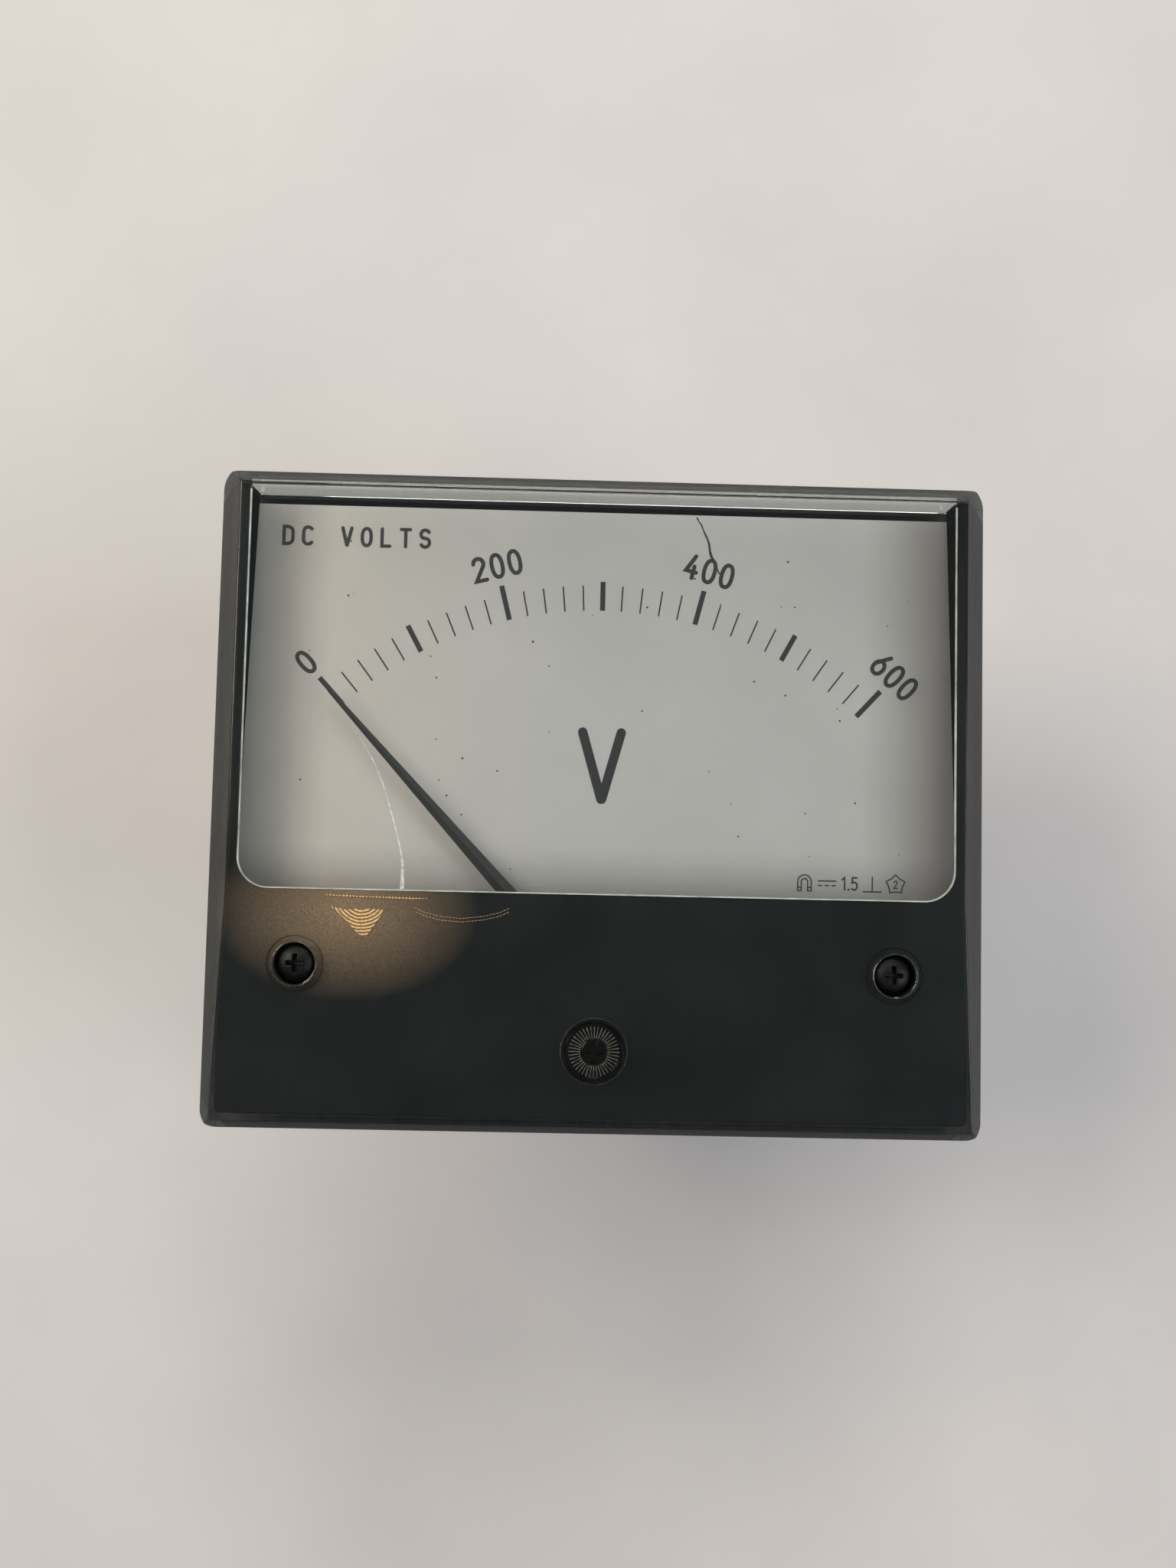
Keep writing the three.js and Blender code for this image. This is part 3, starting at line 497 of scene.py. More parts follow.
def makeAcrylic(name, tint, roughness, ripple):
    # injection-moulded acrylic: clear and glossy, faintly rippled by flow; lamps shine straight through it
    material, tree, surface = newMaterial(name, tint, roughness, Transmission_Weight=1.0,
                                          IOR=acrylicSettings["ior"])
    place = addNode(tree, "ShaderNodeTexCoord").outputs["Object"]
    flow = addNode(tree, "ShaderNodeTexNoise", {"Vector": place},
                   {"Scale": 1 / (acrylicSettings["rippleMm"] * mm), "Detail": 2.0})
    lift = addNode(tree, "ShaderNodeBump", {"Height": flow.outputs["Fac"]}, {"Distance": ripple * mm})
    tree.links.new(lift.outputs["Normal"], surface.inputs["Normal"])
    lamp = addNode(tree, "ShaderNodeBsdfTransparent",
                   values={"Color": hexColour(acrylicSettings["lampTint"])})
    shadow = addNode(tree, "ShaderNodeLightPath").outputs["Is Shadow Ray"]
    either = addNode(tree, "ShaderNodeMixShader", {0: shadow, 1: surface.outputs[0], 2: lamp.outputs[0]})
    tree.links.new(either.outputs[0], tree.nodes["Material Output"].inputs["Surface"])
    return material


finishes["clear_acrylic"] = makeAcrylic(
    "clear_acrylic", acrylicSettings["tint"], acrylicSettings["roughness"], acrylicSettings["rippleDepth"])
smokedAcrylic = makeAcrylic("handled_acrylic", acrylicSettings["smokeTint"], 0.06, 0.01)

lacquerSettings = {
    "colours": ("#0E1211", "#161A19"), "glowAndHaze": "#8A765E", "patch": 14.0, "grain": 0.28,
    "grainDepth": 0.01, "glowAndHazeCentre": (-32.0, -14.5), "glowAndHazeReach": (17.0, 11.5),
}


def makeLacquer():
    # dark lacquer sprayed inside the cover: green-black and satin, with a brown glow round one spot that is
    # partly a painted warm reflection and partly lacquer let go of the acrylic
    material, tree, _ = newMaterial("sprayed_mask_lacquer", lacquerSettings["colours"][0], 0.4,
                                    Specular_IOR_Level=0.1)
    place = addNode(tree, "ShaderNodeTexCoord").outputs["Object"]
    patch = addNode(tree, "ShaderNodeTexNoise", {"Vector": place},
                    {"Scale": 1 / (lacquerSettings["patch"] * mm), "Detail": 5.0})
    tone = addNode(tree, "ShaderNodeValToRGB", {"Fac": patch.outputs["Fac"]},
                   stops=list(zip((0.3, 0.7), lacquerSettings["colours"])))
    # the brown glow round one spot: painted warm reflection, where the lacquer has also let go, broken up by
    # a fine grain
    reachX, reachY = (reach * mm for reach in lacquerSettings["glowAndHazeReach"])
    centreX, centreY = (centre * mm for centre in lacquerSettings["glowAndHazeCentre"])
    about = addNode(tree, "ShaderNodeMapping", {"Vector": place}, {
        "Location": (-centreX / reachX, -centreY / reachY, 0), "Scale": (1 / reachX, 1 / reachY, 0)})
    ball = addNode(tree, "ShaderNodeTexGradient", {"Vector": about.outputs[0]}, gradient_type="SPHERICAL")
    fine = addNode(tree, "ShaderNodeTexNoise", {"Vector": place},
                   {"Scale": 1 / (lacquerSettings["grain"] * mm), "Detail": 3.0})
    dusty = addNode(tree, "ShaderNodeMapRange", {"Value": fine.outputs["Fac"]},
                    span(0.25, 0.75, 0.6, 1.1))
    amount = addNode(tree, "ShaderNodeMath", {0: ball.outputs["Fac"], 1: dusty.outputs[0]},
                     operation="MULTIPLY")
    withGlowAndHaze = addNode(tree, "ShaderNodeMix", {0: amount.outputs[0], 6: tone.outputs["Color"]},
                    {7: hexColour(lacquerSettings["glowAndHaze"])}, data_type="RGBA")
    gloss = addNode(tree, "ShaderNodeMapRange", {"Value": patch.outputs["Fac"]},
                    span(0.3, 0.7, 0.32, 0.5))
    return surfaced(material, withGlowAndHaze.outputs[2], gloss.outputs[0], fine.outputs["Fac"],
                    lacquerSettings["grainDepth"])


finishes["dark_mask"] = makeLacquer()
# the sawn and stained foot of the cover's walls, seen down through the clear wall as upright streaks
rimMaterial = makeFinish(dict(name="stained_sawn_acrylic", colours=("#121413", "#2E302D"), patch=1.6,
                              roughness=(0.5, 0.8), grain=0.5, depth=0.02, stretch=(3, 0.3, 1)))

dialPaintSettings = {
    "peel": 0.5, "peelDepth": 0.006, "patch": 18.0, "halfWidth": 47.0,
    # x in mm and its tone: painted light and shade, brighter and warmer left of centre, with dark ends
    # painted as the walls' shade
    "lightAndShadeTones": ((-46.0, "#97928E"), (-41.5, "#9A918E"), (-36.0, "#B2AAA6"), (-4.0, "#A4A1A2"),
              (35.0, "#A4A1A2"), (46.0, "#7A7679")),
    # foot and head: y in mm where the dial starts and ends darkening, and the factor reached; painted shade,
    # darker towards the window's foot and towards the top
    "foot": (-12.0, -6.0, 0.62), "head": (10.0, 38.0, 0.88),
}


def makeDialPaint():
    # sprayed and baked off-white paint on sheet aluminium: smooth eggshell, a little clouded; its grey tones
    # carry painted light and shade
    d = dialPaintSettings
    material, tree, _ = newMaterial("baked_dial_paint", "#A4A1A2", 0.42)
    place = addNode(tree, "ShaderNodeTexCoord").outputs["Object"]
    apart = addNode(tree, "ShaderNodeSeparateXYZ", {"Vector": place}).outputs
    half = d["halfWidth"]
    across = addNode(tree, "ShaderNodeMapRange", {"Value": apart["X"]},
                     span(-half * mm, half * mm, 0.0, 1.0))
    tone = addNode(tree, "ShaderNodeValToRGB", {"Fac": across.outputs[0]},
                   stops=[((x + half) / (2 * half), colour) for x, colour in d["lightAndShadeTones"]])
    # painted shade: darker towards the window's foot, where the mask stands over the dial
    low, high, footShade = d["foot"]
    foot = addNode(tree, "ShaderNodeMapRange", {"Value": apart["Y"]},
                   span(low * mm, high * mm, footShade, 1.0))
    # painted shade: darker towards the top
    low, high, headShade = d["head"]
    head = addNode(tree, "ShaderNodeMapRange", {"Value": apart["Y"]},
                   span(low * mm, high * mm, 1.0, headShade))
    cloud = addNode(tree, "ShaderNodeTexNoise", {"Vector": place},
                    {"Scale": 1 / (d["patch"] * mm), "Detail": 5.0})
    clouded = addNode(tree, "ShaderNodeMapRange", {"Value": cloud.outputs["Fac"]},
                      span(0.3, 0.7, 0.96, 1.04))
    ends = addNode(tree, "ShaderNodeMath", {0: foot.outputs[0], 1: head.outputs[0]}, operation="MULTIPLY")
    shade = addNode(tree, "ShaderNodeMath", {0: ends.outputs[0], 1: clouded.outputs[0]},
                    operation="MULTIPLY")
    # the tone times the painted shade and the clouding
    shadedDialTone = addNode(tree, "ShaderNodeVectorMath", {0: tone.outputs["Color"], "Scale": shade.outputs[0]},
                   operation="SCALE")
    peel = addNode(tree, "ShaderNodeTexNoise", {"Vector": place}, {"Scale": 1 / (d["peel"] * mm)})
    gloss = addNode(tree, "ShaderNodeMapRange", {"Value": peel.outputs["Fac"]},
                    span(0.3, 0.7, 0.36, 0.5))
    return surfaced(material, shadedDialTone.outputs[0], gloss.outputs[0], peel.outputs["Fac"], d["peelDepth"])


finishes["dial_paint"] = makeDialPaint()
# screen-printed ink: dense black with a slightly uneven edge to its gloss
inkMaterial = makeFinish(dict(name="screen_printed_ink", colours=("#0B0C0F", "#15161A"), patch=0.7,
                              roughness=(0.45, 0.65), grain=0.1, depth=0.003))
# the broken faces of a crack: grey-white and dull
crackMaterial = makeFinish(dict(name="fractured_acrylic", colours=("#9C9D98", "#DADAD4"), patch=0.6,
                                roughness=(0.3, 0.6), grain=0.08, depth=0.02))
# ribs of the adjuster's head, moulded in smoked acrylic: dark and glossy, painted paler than the disc as the
# highlights on their crests; the same painted highlight rings the recesses
ribAndEdgeHighlight = makeFinish(dict(name="smoked_acrylic_ribs_painted_highlights", colours=("#33342E", "#6A6A61"), patch=0.5,
                              roughness=(0.15, 0.35), grain=0.12, depth=0.01))
# the moulded lip round the window, painted pale as the highlight of its edge catching light
lipMaterial = makeFinish(dict(name="acrylic_lip_painted_highlight", colours=("#878A86", "#B9BBB6"), patch=3,
                              roughness=(0.3, 0.45), grain=0.2, depth=0.005))

for node in frame["nodes"].values():
    for item in node.material_slots:
        item.material = finishes[item.material.name]
print("finishes made:", len(finishes))

# the clear cover, its edges and corners as moulded
coverLow, coverHigh = boxMm("front_cover")
coverSettings = {
    "sideBevel": 3.0, "innerBevel": 1.0, "topBevel": 1.9, "bottomBevel": 1.1, "foldY": -12.2, "fall": 1.5,
    "wall": 1.9, "face": 2.0, "cornerRadius": 2.3, "edgeRound": 0.18, "bossRadius": 3.5, "bossDepth": 5.5,
    "bossTop": 2.2, "boreRadius": 2.8, "holeRadius": 1.75, "headHeight": 2.1, "recessRadius": 4.2,
    "recessDepth": 1.0, "adjusterHole": 3.05, "rootLift": 0.05, "rootGap": 0.02, "paintStep": 0.02,
    "paintEdgeZ": 66.9,
}
maskSettings = {
    "inset": 2.0, "thickness": 0.35, "footZ": 60.8, "halfWidth": 46.05, "bottom": -11.8,
    "cornerRadius": 4.0, "bossHole": 3.55, "clipHole": 4.3, "lipWidth": 0.16, "lipLow": 71.7,
    "lipHigh": 71.95, "edgeLine": 0.07, "edgeDrop": 0.19, "edgeDepth": 0.1,
}
coverScrewX, coverScrewY, _ = centreMm("cover_screw_right")
adjusterX, adjusterY, _ = (value / mm for value in joints["zero_adjust"]["pos_m"])
pivotX, pivotY, _ = (value / mm for value in joints["pointer_swing"]["pos_m"])
faceSlope = coverSettings["fall"] / (coverSettings["foldY"] - coverLow.y)


def faceZ(y, inset=0.0):
    return coverHigh.z - inset - max(0.0, coverSettings["foldY"] - y) * faceSlope


def sheared(ring, y):
    # a flat ring round y, laid in the sloped face
    for vertex in ring.data.vertices:
        vertex.co.z += (vertex.co.y - y * mm) * faceSlope
    return ring


def coverBody(name, inset, floorZ):
    # the cover's outer shape, or the space inside it when inset
    c = coverSettings
    drop = 0.0 if inset == 0 else c["face"] + inset - c["wall"]
    halfW = coverHigh.x - inset
    y0, y1 = coverLow.y + inset, coverHigh.y - inset
    front = coverHigh.z - drop
    side = c["sideBevel"] if inset == 0 else c["innerBevel"]
    top = c["topBevel"] if inset == 0 else 0.01
    foot = c["bottomBevel"] if inset == 0 else 0.01
    spare = 6.0
    planes = [
        ((1, 0, 0), halfW + spare), ((-1, 0, 0), halfW + spare), ((0, 1, 0), y1 + spare),
        ((0, -1, 0), spare - y0),
        ((0, 0, -1), -floorZ), ((0, 0, 1), front), ((0, -faceSlope, 1), front - faceSlope * c["foldY"]),
        ((1, 0, 1), halfW + front - side), ((-1, 0, 1), halfW + front - side),
        ((0, -1, 1), -y0 + faceZ(y0, drop) - foot), ((0, 1, 1), y1 + front - top),
    ]
    corner = max(0.6, c["cornerRadius"] - inset)
    plan = prism(name, roundedOutline(-halfW, halfW, y0, y1, corner), floorZ - 1, front + 2)
    return booleanWith(plan, [convexBody("planes", planes)], "INTERSECT")


def windowPath(inset=0.0, count=14):
    # down the window's left side, round its lower corners and up the right side
    m = maskSettings
    x, y, r = m["halfWidth"] - inset, m["bottom"] + inset, m["cornerRadius"] - inset
    top = coverHigh.y - coverSettings["wall"] - 0.6
    left = arcPoints(-x + r, y + r, r, r, 180, 270, count)
    right = arcPoints(x - r, y + r, r, r, 270, 360, count)
    return [(-x, top)] + left + right + [(x, top)]


def apertureOutline():
    x = maskSettings["halfWidth"]
    return [(x, 60.0), (-x, 60.0)] + windowPath()[1:-1]


def makeCover():
    c = coverSettings
    # the lacquer is sprayed on the acrylic itself, so the painted walls are the cover's own faces
    clear, lacquer = finishes["clear_acrylic"], finishes["dark_mask"]
    cover = coated(coverBody("clear_cover", 0, coverLow.z), clear)
    booleanWith(cover, [coated(coverBody("inside", c["wall"], coverLow.z - 1), lacquer)])
    pane = coverBody("pane", c["wall"] - c["paintStep"], coverLow.z - 1)
    booleanWith(pane, [prism("aperture", apertureOutline(), c["paintEdgeZ"], 80)], "INTERSECT")
    booleanWith(cover, [coated(pane, clear)])
    seatZ = boxMm("cover_screw_right")[1].z - c["headHeight"]
    places = [(side * coverScrewX, coverScrewY) for side in (-1, 1)]
    bosses = [rod(x, y, c["bossRadius"], seatZ - c["bossDepth"], seatZ + c["bossTop"]) for x, y in places]
    booleanWith(cover, [coated(boss, lacquer) for boss in bosses], "UNION")
    cutters = []
    for x, y in places:
        # paint over the boss's root, as a hairline gap just above the painted inner face
        root = faceZ(y) - c["face"] + c["rootLift"]
        inner, outer = c["boreRadius"] + 0.04, c["bossRadius"] + 0.1
        gap = sheared(tube("root", inner, outer, root, root + c["rootGap"], x, y, 96), y)
        booleanWith(cover, [coated(gap, lacquer)])
        booleanWith(cover, [coated(rod(x, y, c["boreRadius"], seatZ - 0.1, root + 1.2), lacquer)])
        cutters += [rod(x, y, c["boreRadius"] + 0.03, root + 1.1, 80), rod(x, y, c["holeRadius"], 50, 80)]
    recessFloor = faceZ(adjusterY) - c["recessDepth"]
    cutters.append(rod(adjusterX, adjusterY, c["recessRadius"], recessFloor, 80, 96))
    cutters.append(rod(adjusterX, adjusterY, c["adjusterHole"], 50, 80, 96))
    booleanWith(cover, [coated(cutter, clear) for cutter in cutters])
    bevelled(cover, c["edgeRound"])
    cover.data.materials.append(rimMaterial)
    for face in cover.data.polygons:
        if face.normal.z < -0.9 and face.center.z < (coverLow.z + 0.1) * mm:
            face.material_index = len(cover.data.materials) - 1
    finish(cover, "housing", None, ["front_cover"], flatFaces=True)


def makeMask():
    # the coat itself, a thin shell just inside the cover
    m = maskSettings
    mask = coverBody("mask_lacquer", m["inset"], m["footZ"])
    booleanWith(mask, [coverBody("inside", m["inset"] + m["thickness"], m["footZ"] - 1)])
    cutters = [prism("aperture", apertureOutline(), coverSettings["paintEdgeZ"], 80)]
    cutters += [rod(side * coverScrewX, coverScrewY, m["bossHole"], 50, 80) for side in (-1, 1)]
    cutters.append(rod(adjusterX, adjusterY, m["clipHole"], 50, 80))
    booleanWith(mask, cutters)
    finish(mask, "housing", finishes["dark_mask"], ["cover_mask"])
    # paler rings at the edges of the three recesses, painted highlights, lying in the sloped face
    edges = []
    for x, y, radius in ((-coverScrewX, coverScrewY, coverSettings["boreRadius"]),
                         (coverScrewX, coverScrewY, coverSettings["boreRadius"]),
                         (adjusterX, adjusterY, coverSettings["recessRadius"])):
        top = faceZ(y) - m["edgeDrop"]
        inner, outer = radius - 0.005, radius + m["edgeLine"]
        edges.append(sheared(tube("edge", inner, outer, top - m["edgeDepth"], top, x, y, 96), y))
    finish(joined("recess_edge_highlights", edges), "housing", ribAndEdgeHighlight)
    # a pale strip painted as the highlight along the window's edge
    lip = prism("window_lip", windowPath() + windowPath(m["lipWidth"])[::-1], m["lipLow"], m["lipHigh"])
    finish(lip, "housing", lipMaterial)


makeCover()
makeMask()
print("cover and mask made")


# strokes for the printing and the damage: closed loops, or ribbons, round-ended where the width is one number
def ribbon(points, width, closed=False, z=0.0):
    varied = isinstance(width, tuple)
    pts = [Vector(p) for p in points]
    n = len(pts)
    left, right = [], []
    for i, p in enumerate(pts):
        before = pts[(i - 1) % n] if closed or i else p
        after = pts[(i + 1) % n] if closed or i < n - 1 else p
        one = (p - before).normalized() if (p - before).length else (after - p).normalized()
        two = (after - p).normalized() if (after - p).length else one
        along = (one + two).normalized() if (one + two).length > 1e-6 else one
        half = (width[i] if varied else width) / 2 / max(0.5, along.dot(two))
        side = Vector((-along.y, along.x)) * half
        left.append(p + side)
        right.append(p - side)
    verts = [(*v, z) for v in left + right]
    last = n if closed else n - 1
    faces = [[n + i, n + (i + 1) % n, (i + 1) % n, i] for i in range(last)]
    if not closed and not varied:
        for end, towards in ((0, pts[0] - pts[1]), (n - 1, pts[-1] - pts[-2])):
            start = len(verts)
            heading = math.atan2(towards.y, towards.x)
            cap = [heading + math.radians(-67.5 + 22.5 * k) for k in range(7)]
            verts += [(pts[end].x + width / 2 * math.cos(a), pts[end].y + width / 2 * math.sin(a), z)
                      for a in cap]
            sides = (n + end, end) if end else (end, n + end)
            faces.append([sides[0], *range(start, start + 7), sides[1]])
    return verts, faces


def ribbonPiece(name, ribbons, thickness):
    verts, faces = [], []
    for ribbonVerts, ribbonFaces in ribbons:
        start = len(verts)
        verts += ribbonVerts
        faces += [[start + i for i in face] for face in ribbonFaces]
    piece = meshPiece(name, verts, faces)
    step = piece.modifiers.new("thickness", "SOLIDIFY")
    step.thickness = thickness * mm
    step.offset = 1.0
    step.use_rim = True
    return finishedMesh(piece)


def ovalPoints(cx, cy, rx, ry, power=2.3, count=28):
    points = []
    for i in range(count):
        a = 2 * math.pi * i / count
        c, s = math.cos(a), math.sin(a)
        points.append((cx + rx * math.copysign(abs(c) ** (2 / power), c),
                       cy + ry * math.copysign(abs(s) ** (2 / power), s)))
    return points


# numerals and capitals on a box 1.41 wide and 3 high, as (closed, points) strokes
glyphs = {
    "0": [(True, ovalPoints(0.705, 1.5, 0.705, 1.5))],
    "1": [(False, [(0.25, 2.45), (0.85, 3.0), (0.85, 0.0)])],
    "2": [(False, arcPoints(0.7, 2.27, 0.68, 0.73, 172, -28, 12) + [(0.0, 0.0), (1.41, 0.0)])],
    "4": [(False, [(0.86, 3.0), (0.0, 0.85), (1.41, 0.85)]), (False, [(1.0, 1.6), (1.0, 0.0)])],
    "5": [(False,
           [(1.3, 3.0), (0.2, 3.0), (0.12, 1.7)] + arcPoints(0.62, 0.95, 0.72, 0.95, 118, -140, 14))],
    "6": [(True, ovalPoints(0.705, 0.93, 0.705, 0.93, 2.1)),
          (False, [(1.12, 3.0), (0.72, 2.35), (0.3, 1.6), (0.03, 1.15)])],
    "C": [(False,
           arcPoints(0.72, 2.25, 0.72, 0.75, 35, 180, 8) + arcPoints(0.72, 0.75, 0.72, 0.75, 180, 325, 8))],
    "D": [(True, [(0, 0), (0, 3)] + arcPoints(0.55, 2.1, 0.86, 0.9, 90, 0, 6)
           + arcPoints(0.55, 0.9, 0.86, 0.9, 0, -90, 6))],
    "L": [(False, [(0.05, 3.0), (0.05, 0.0), (1.3, 0.0)])],
    "S": [(False,
           arcPoints(0.7, 2.25, 0.68, 0.75, 30, 240, 10) + arcPoints(0.7, 0.78, 0.7, 0.78, 60, -150, 10))],
    "T": [(False, [(0.0, 3.0), (1.41, 3.0)]), (False, [(0.705, 3.0), (0.705, 0.0)])],
    "V": [(False, [(0.0, 3.0), (0.68, 0.0)]), (False, [(1.41, 3.0), (0.73, 0.0)])],
}
glyphs["O"] = glyphs["0"]
dialHigh = boxMm("dial_plate")[1]
scaleSettings = {
    "halfAngle": 42.75, "divisions": 30, "innerRadius": 50.3, "boldRadius": 55.0, "middleRadius": 54.2,
    "fineRadius": 53.7, "boldWidth": 0.68, "fineWidth": 0.2, "inkLift": 0.004, "inkThickness": 0.015,
    "numberRadius": 57.75, "numberHeight": 3.0, "numberStroke": 0.54, "numberAdvance": 2.4,
    "numbers": {"0": 0, "200": 10, "400": 20, "600": 30}, "label": "DC VOLTS",
    "labelPlace": (-33.0, 35.0), "labelHeight": 2.3, "labelStroke": 0.46, "labelAdvance": 2.6,
    "labelStretch": 1.1, "unitTops": (-2.28, 2.85), "unitTop": 9.6, "unitFoot": 0.72, "unitStroke": 1.25,
    "strokeLift": 0.0002,
}


def wordStrokes(word, x, y, turn, height, stroke, advance, stretch=1.0):
    # a word centred on (x, y), turned by an angle
    scale = height / 3.0
    width = 1.41 * scale * stretch
    start = -((len(word) - 1) * advance + width) / 2
    strokes = []
    for k, letter in enumerate(word):
        for closed, points in glyphs.get(letter, []):
            moved = []
            for px, py in points:
                u = start + k * advance + px * scale * stretch
                v = py * scale - height / 2
                moved.append((x + u * math.cos(turn) - v * math.sin(turn),
                              y + u * math.sin(turn) + v * math.cos(turn)))
            strokes.append((closed, moved, stroke))
    return strokes


def symbolStrokes():
    # magnet, direct current, accuracy class, upright mounting and the test star
    fine = 0.17
    rowY = -9.7
    magnet = [(26.6, rowY - 1.05)] + arcPoints(27.5, rowY + 0.15, 0.9, 0.9, 180, 0, 11) + [
        (28.4, rowY - 1.05)]
    bore = [(27.08, rowY - 1.05)] + arcPoints(27.5, rowY + 0.15, 0.42, 0.42, 180, 0, 9) + [
        (27.92, rowY - 1.05)]
    strokes = [(False, magnet, fine), (False, bore, fine)]
    for x0, x1 in ((26.6, 27.08), (27.92, 28.4)):
        strokes += [(False, [(x0, rowY - 1.05), (x1, rowY - 1.05)], fine),
                    (False, [(x0, rowY - 0.6), (x1, rowY - 0.6)], fine)]
    strokes.append((False, [(29.35, rowY + 0.3), (31.65, rowY + 0.3)], fine))
    strokes += [(False, [(x, rowY - 0.3), (x + 0.45, rowY - 0.3)], fine) for x in (29.35, 30.25, 31.15)]
    strokes += wordStrokes("1", 32.75, rowY, 0, 1.6, 0.22, 1.0)
    strokes.append((False, [(33.35, rowY - 0.78), (33.37, rowY - 0.76)], 0.26))
    strokes += wordStrokes("5", 34.15, rowY, 0, 1.6, 0.22, 1.0)
    strokes += [(False, [(36.5, rowY + 0.95), (36.5, rowY - 1.0)], fine),
                (False, [(35.3, rowY - 1.0), (37.7, rowY - 1.0)], fine)]
    star = []
    for i in range(10):
        a = math.radians(90 + 36 * i)
        r = 1.3 if i % 2 == 0 else 0.95
        star.append((39.6 + r * math.cos(a), rowY + r * math.sin(a)))
    strokes.append((True, star, fine))
    strokes += wordStrokes("2", 39.6, rowY, 0, 0.95, 0.16, 0.8)
    return strokes


def makePrinting():
    s = scaleSettings
    strokes = []
    for word, division in s["numbers"].items():
        angle = math.radians(s["halfAngle"] - 2 * s["halfAngle"] * division / s["divisions"])
        x = pivotX - s["numberRadius"] * math.sin(angle)
        y = pivotY + s["numberRadius"] * math.cos(angle)
        strokes += wordStrokes(word, x, y, angle, s["numberHeight"], s["numberStroke"], s["numberAdvance"])
    for x in s["unitTops"]:
        foot = (0.37 + 0.02 * x, s["unitFoot"])
        strokes.append((False, [(x, s["unitTop"]), foot], s["unitStroke"]))
    x, y = s["labelPlace"]
    strokes += wordStrokes(s["label"], x, y, 0, s["labelHeight"], s["labelStroke"], s["labelAdvance"],
                           s["labelStretch"])
    strokes += symbolStrokes()
    base = dialHigh.z + s["inkLift"]
    ribbons = [ribbon(points, width, closed, base + s["strokeLift"] * i)
               for i, (closed, points, width) in enumerate(strokes)]
    finish(ribbonPiece("dial_lettering", ribbons, s["inkThickness"]), "housing", inkMaterial)


makePrinting()


def makeScaleMarks():
    # every mark of the scale, stood round the pivot by its own number
    s = scaleSettings
    tree, given = geometryTree("scaleMarks", {
        "Count": "Int", "Half Angle": "Float", "Pivot": "Vector", "Inner Radius": "Float",
        "Fine Radius": "Float",
        "Middle Extra": "Float", "Bold Extra": "Float", "Fine Width": "Float", "Bold Width": "Float",
        "Thickness": "Float", "Material": "Material"})
    number = addNode(tree, "GeometryNodeInputIndex").outputs[0]
    fifths = addNode(tree, "ShaderNodeMath", {0: number}, {1: 5.0}, operation="MODULO").outputs[0]
    tenths = addNode(tree, "ShaderNodeMath", {0: number}, {1: 10.0}, operation="MODULO").outputs[0]
    isFifth = addNode(tree, "ShaderNodeMath", {0: fifths}, {1: 0.5}, operation="LESS_THAN").outputs[0]
    isTenth = addNode(tree, "ShaderNodeMath", {0: tenths}, {1: 0.5}, operation="LESS_THAN").outputs[0]
    middle = addNode(tree, "ShaderNodeMath",
                     {0: isFifth, 1: given["Middle Extra"], 2: given["Fine Radius"]},
                     operation="MULTIPLY_ADD").outputs[0]
    outer = addNode(tree, "ShaderNodeMath", {0: isTenth, 1: given["Bold Extra"], 2: middle},
                    operation="MULTIPLY_ADD").outputs[0]
    length = addNode(tree, "ShaderNodeMath", {0: outer, 1: given["Inner Radius"]},
                     operation="SUBTRACT").outputs[0]
    total = addNode(tree, "ShaderNodeMath", {0: outer, 1: given["Inner Radius"]},
                    operation="ADD").outputs[0]
    radius = addNode(tree, "ShaderNodeMath", {0: total}, {1: 0.5}, operation="MULTIPLY").outputs[0]
    wider = addNode(tree, "ShaderNodeMath", {0: given["Bold Width"], 1: given["Fine Width"]},
                    operation="SUBTRACT").outputs[0]
    width = addNode(tree, "ShaderNodeMath", {0: isFifth, 1: wider, 2: given["Fine Width"]},
                    operation="MULTIPLY_ADD").outputs[0]
    lastNumber = addNode(tree, "ShaderNodeMath", {0: given["Count"]}, {1: 1.0},
                         operation="SUBTRACT").outputs[0]
    share = addNode(tree, "ShaderNodeMath", {0: number, 1: lastNumber}, operation="DIVIDE").outputs[0]
    fromLeft = addNode(tree, "ShaderNodeMath", {0: share}, {1: -2.0, 2: 1.0},
                       operation="MULTIPLY_ADD").outputs[0]
    angle = addNode(tree, "ShaderNodeMath", {0: fromLeft, 1: given["Half Angle"]},
                    operation="MULTIPLY").outputs[0]
    reach = addNode(tree, "ShaderNodeCombineXYZ", {"Y": radius}).outputs[0]
    size = addNode(tree, "ShaderNodeCombineXYZ",
                   {"X": width, "Y": length, "Z": given["Thickness"]}).outputs[0]
    bar = addNode(tree, "GeometryNodeMeshCube", values={"Size": (1, 1, 1)}).outputs[0]
    marks = stoodRound(tree, given["Count"], angle, reach, given["Pivot"], bar, size)
    endTree(tree, marks, given["Material"])
    markZ = dialHigh.z + s["inkLift"] + s["inkThickness"] / 2
    piece = grown("scale_marks", tree, {
        "Count": s["divisions"] + 1, "Half Angle": math.radians(s["halfAngle"]),
        "Pivot": (pivotX * mm, pivotY * mm, markZ * mm), "Inner Radius": s["innerRadius"] * mm,
        "Fine Radius": s["fineRadius"] * mm, "Middle Extra": (s["middleRadius"] - s["fineRadius"]) * mm,
        "Bold Extra": (s["boldRadius"] - s["middleRadius"]) * mm, "Fine Width": s["fineWidth"] * mm,
        "Bold Width": s["boldWidth"] * mm, "Thickness": s["inkThickness"] * mm, "Material": inkMaterial})
    finish(piece, "housing", inkMaterial)


makeScaleMarks()
print("dial printed")

pointerSettings = {
    "tipRadius": 52.5, "tipWidth": 0.55, "taper": 0.043, "bladeZ": 69.2, "edge": 0.14, "thickness": 0.4,
    "hubZ": 60.9, "hubHeight": 0.6, "hubRadius": 1.9, "hubHole": 0.6, "riseStart": 5.3, "riseEnd": 9.2,
    "armHalfWidth": 0.45, "armLength": 7.0,
}


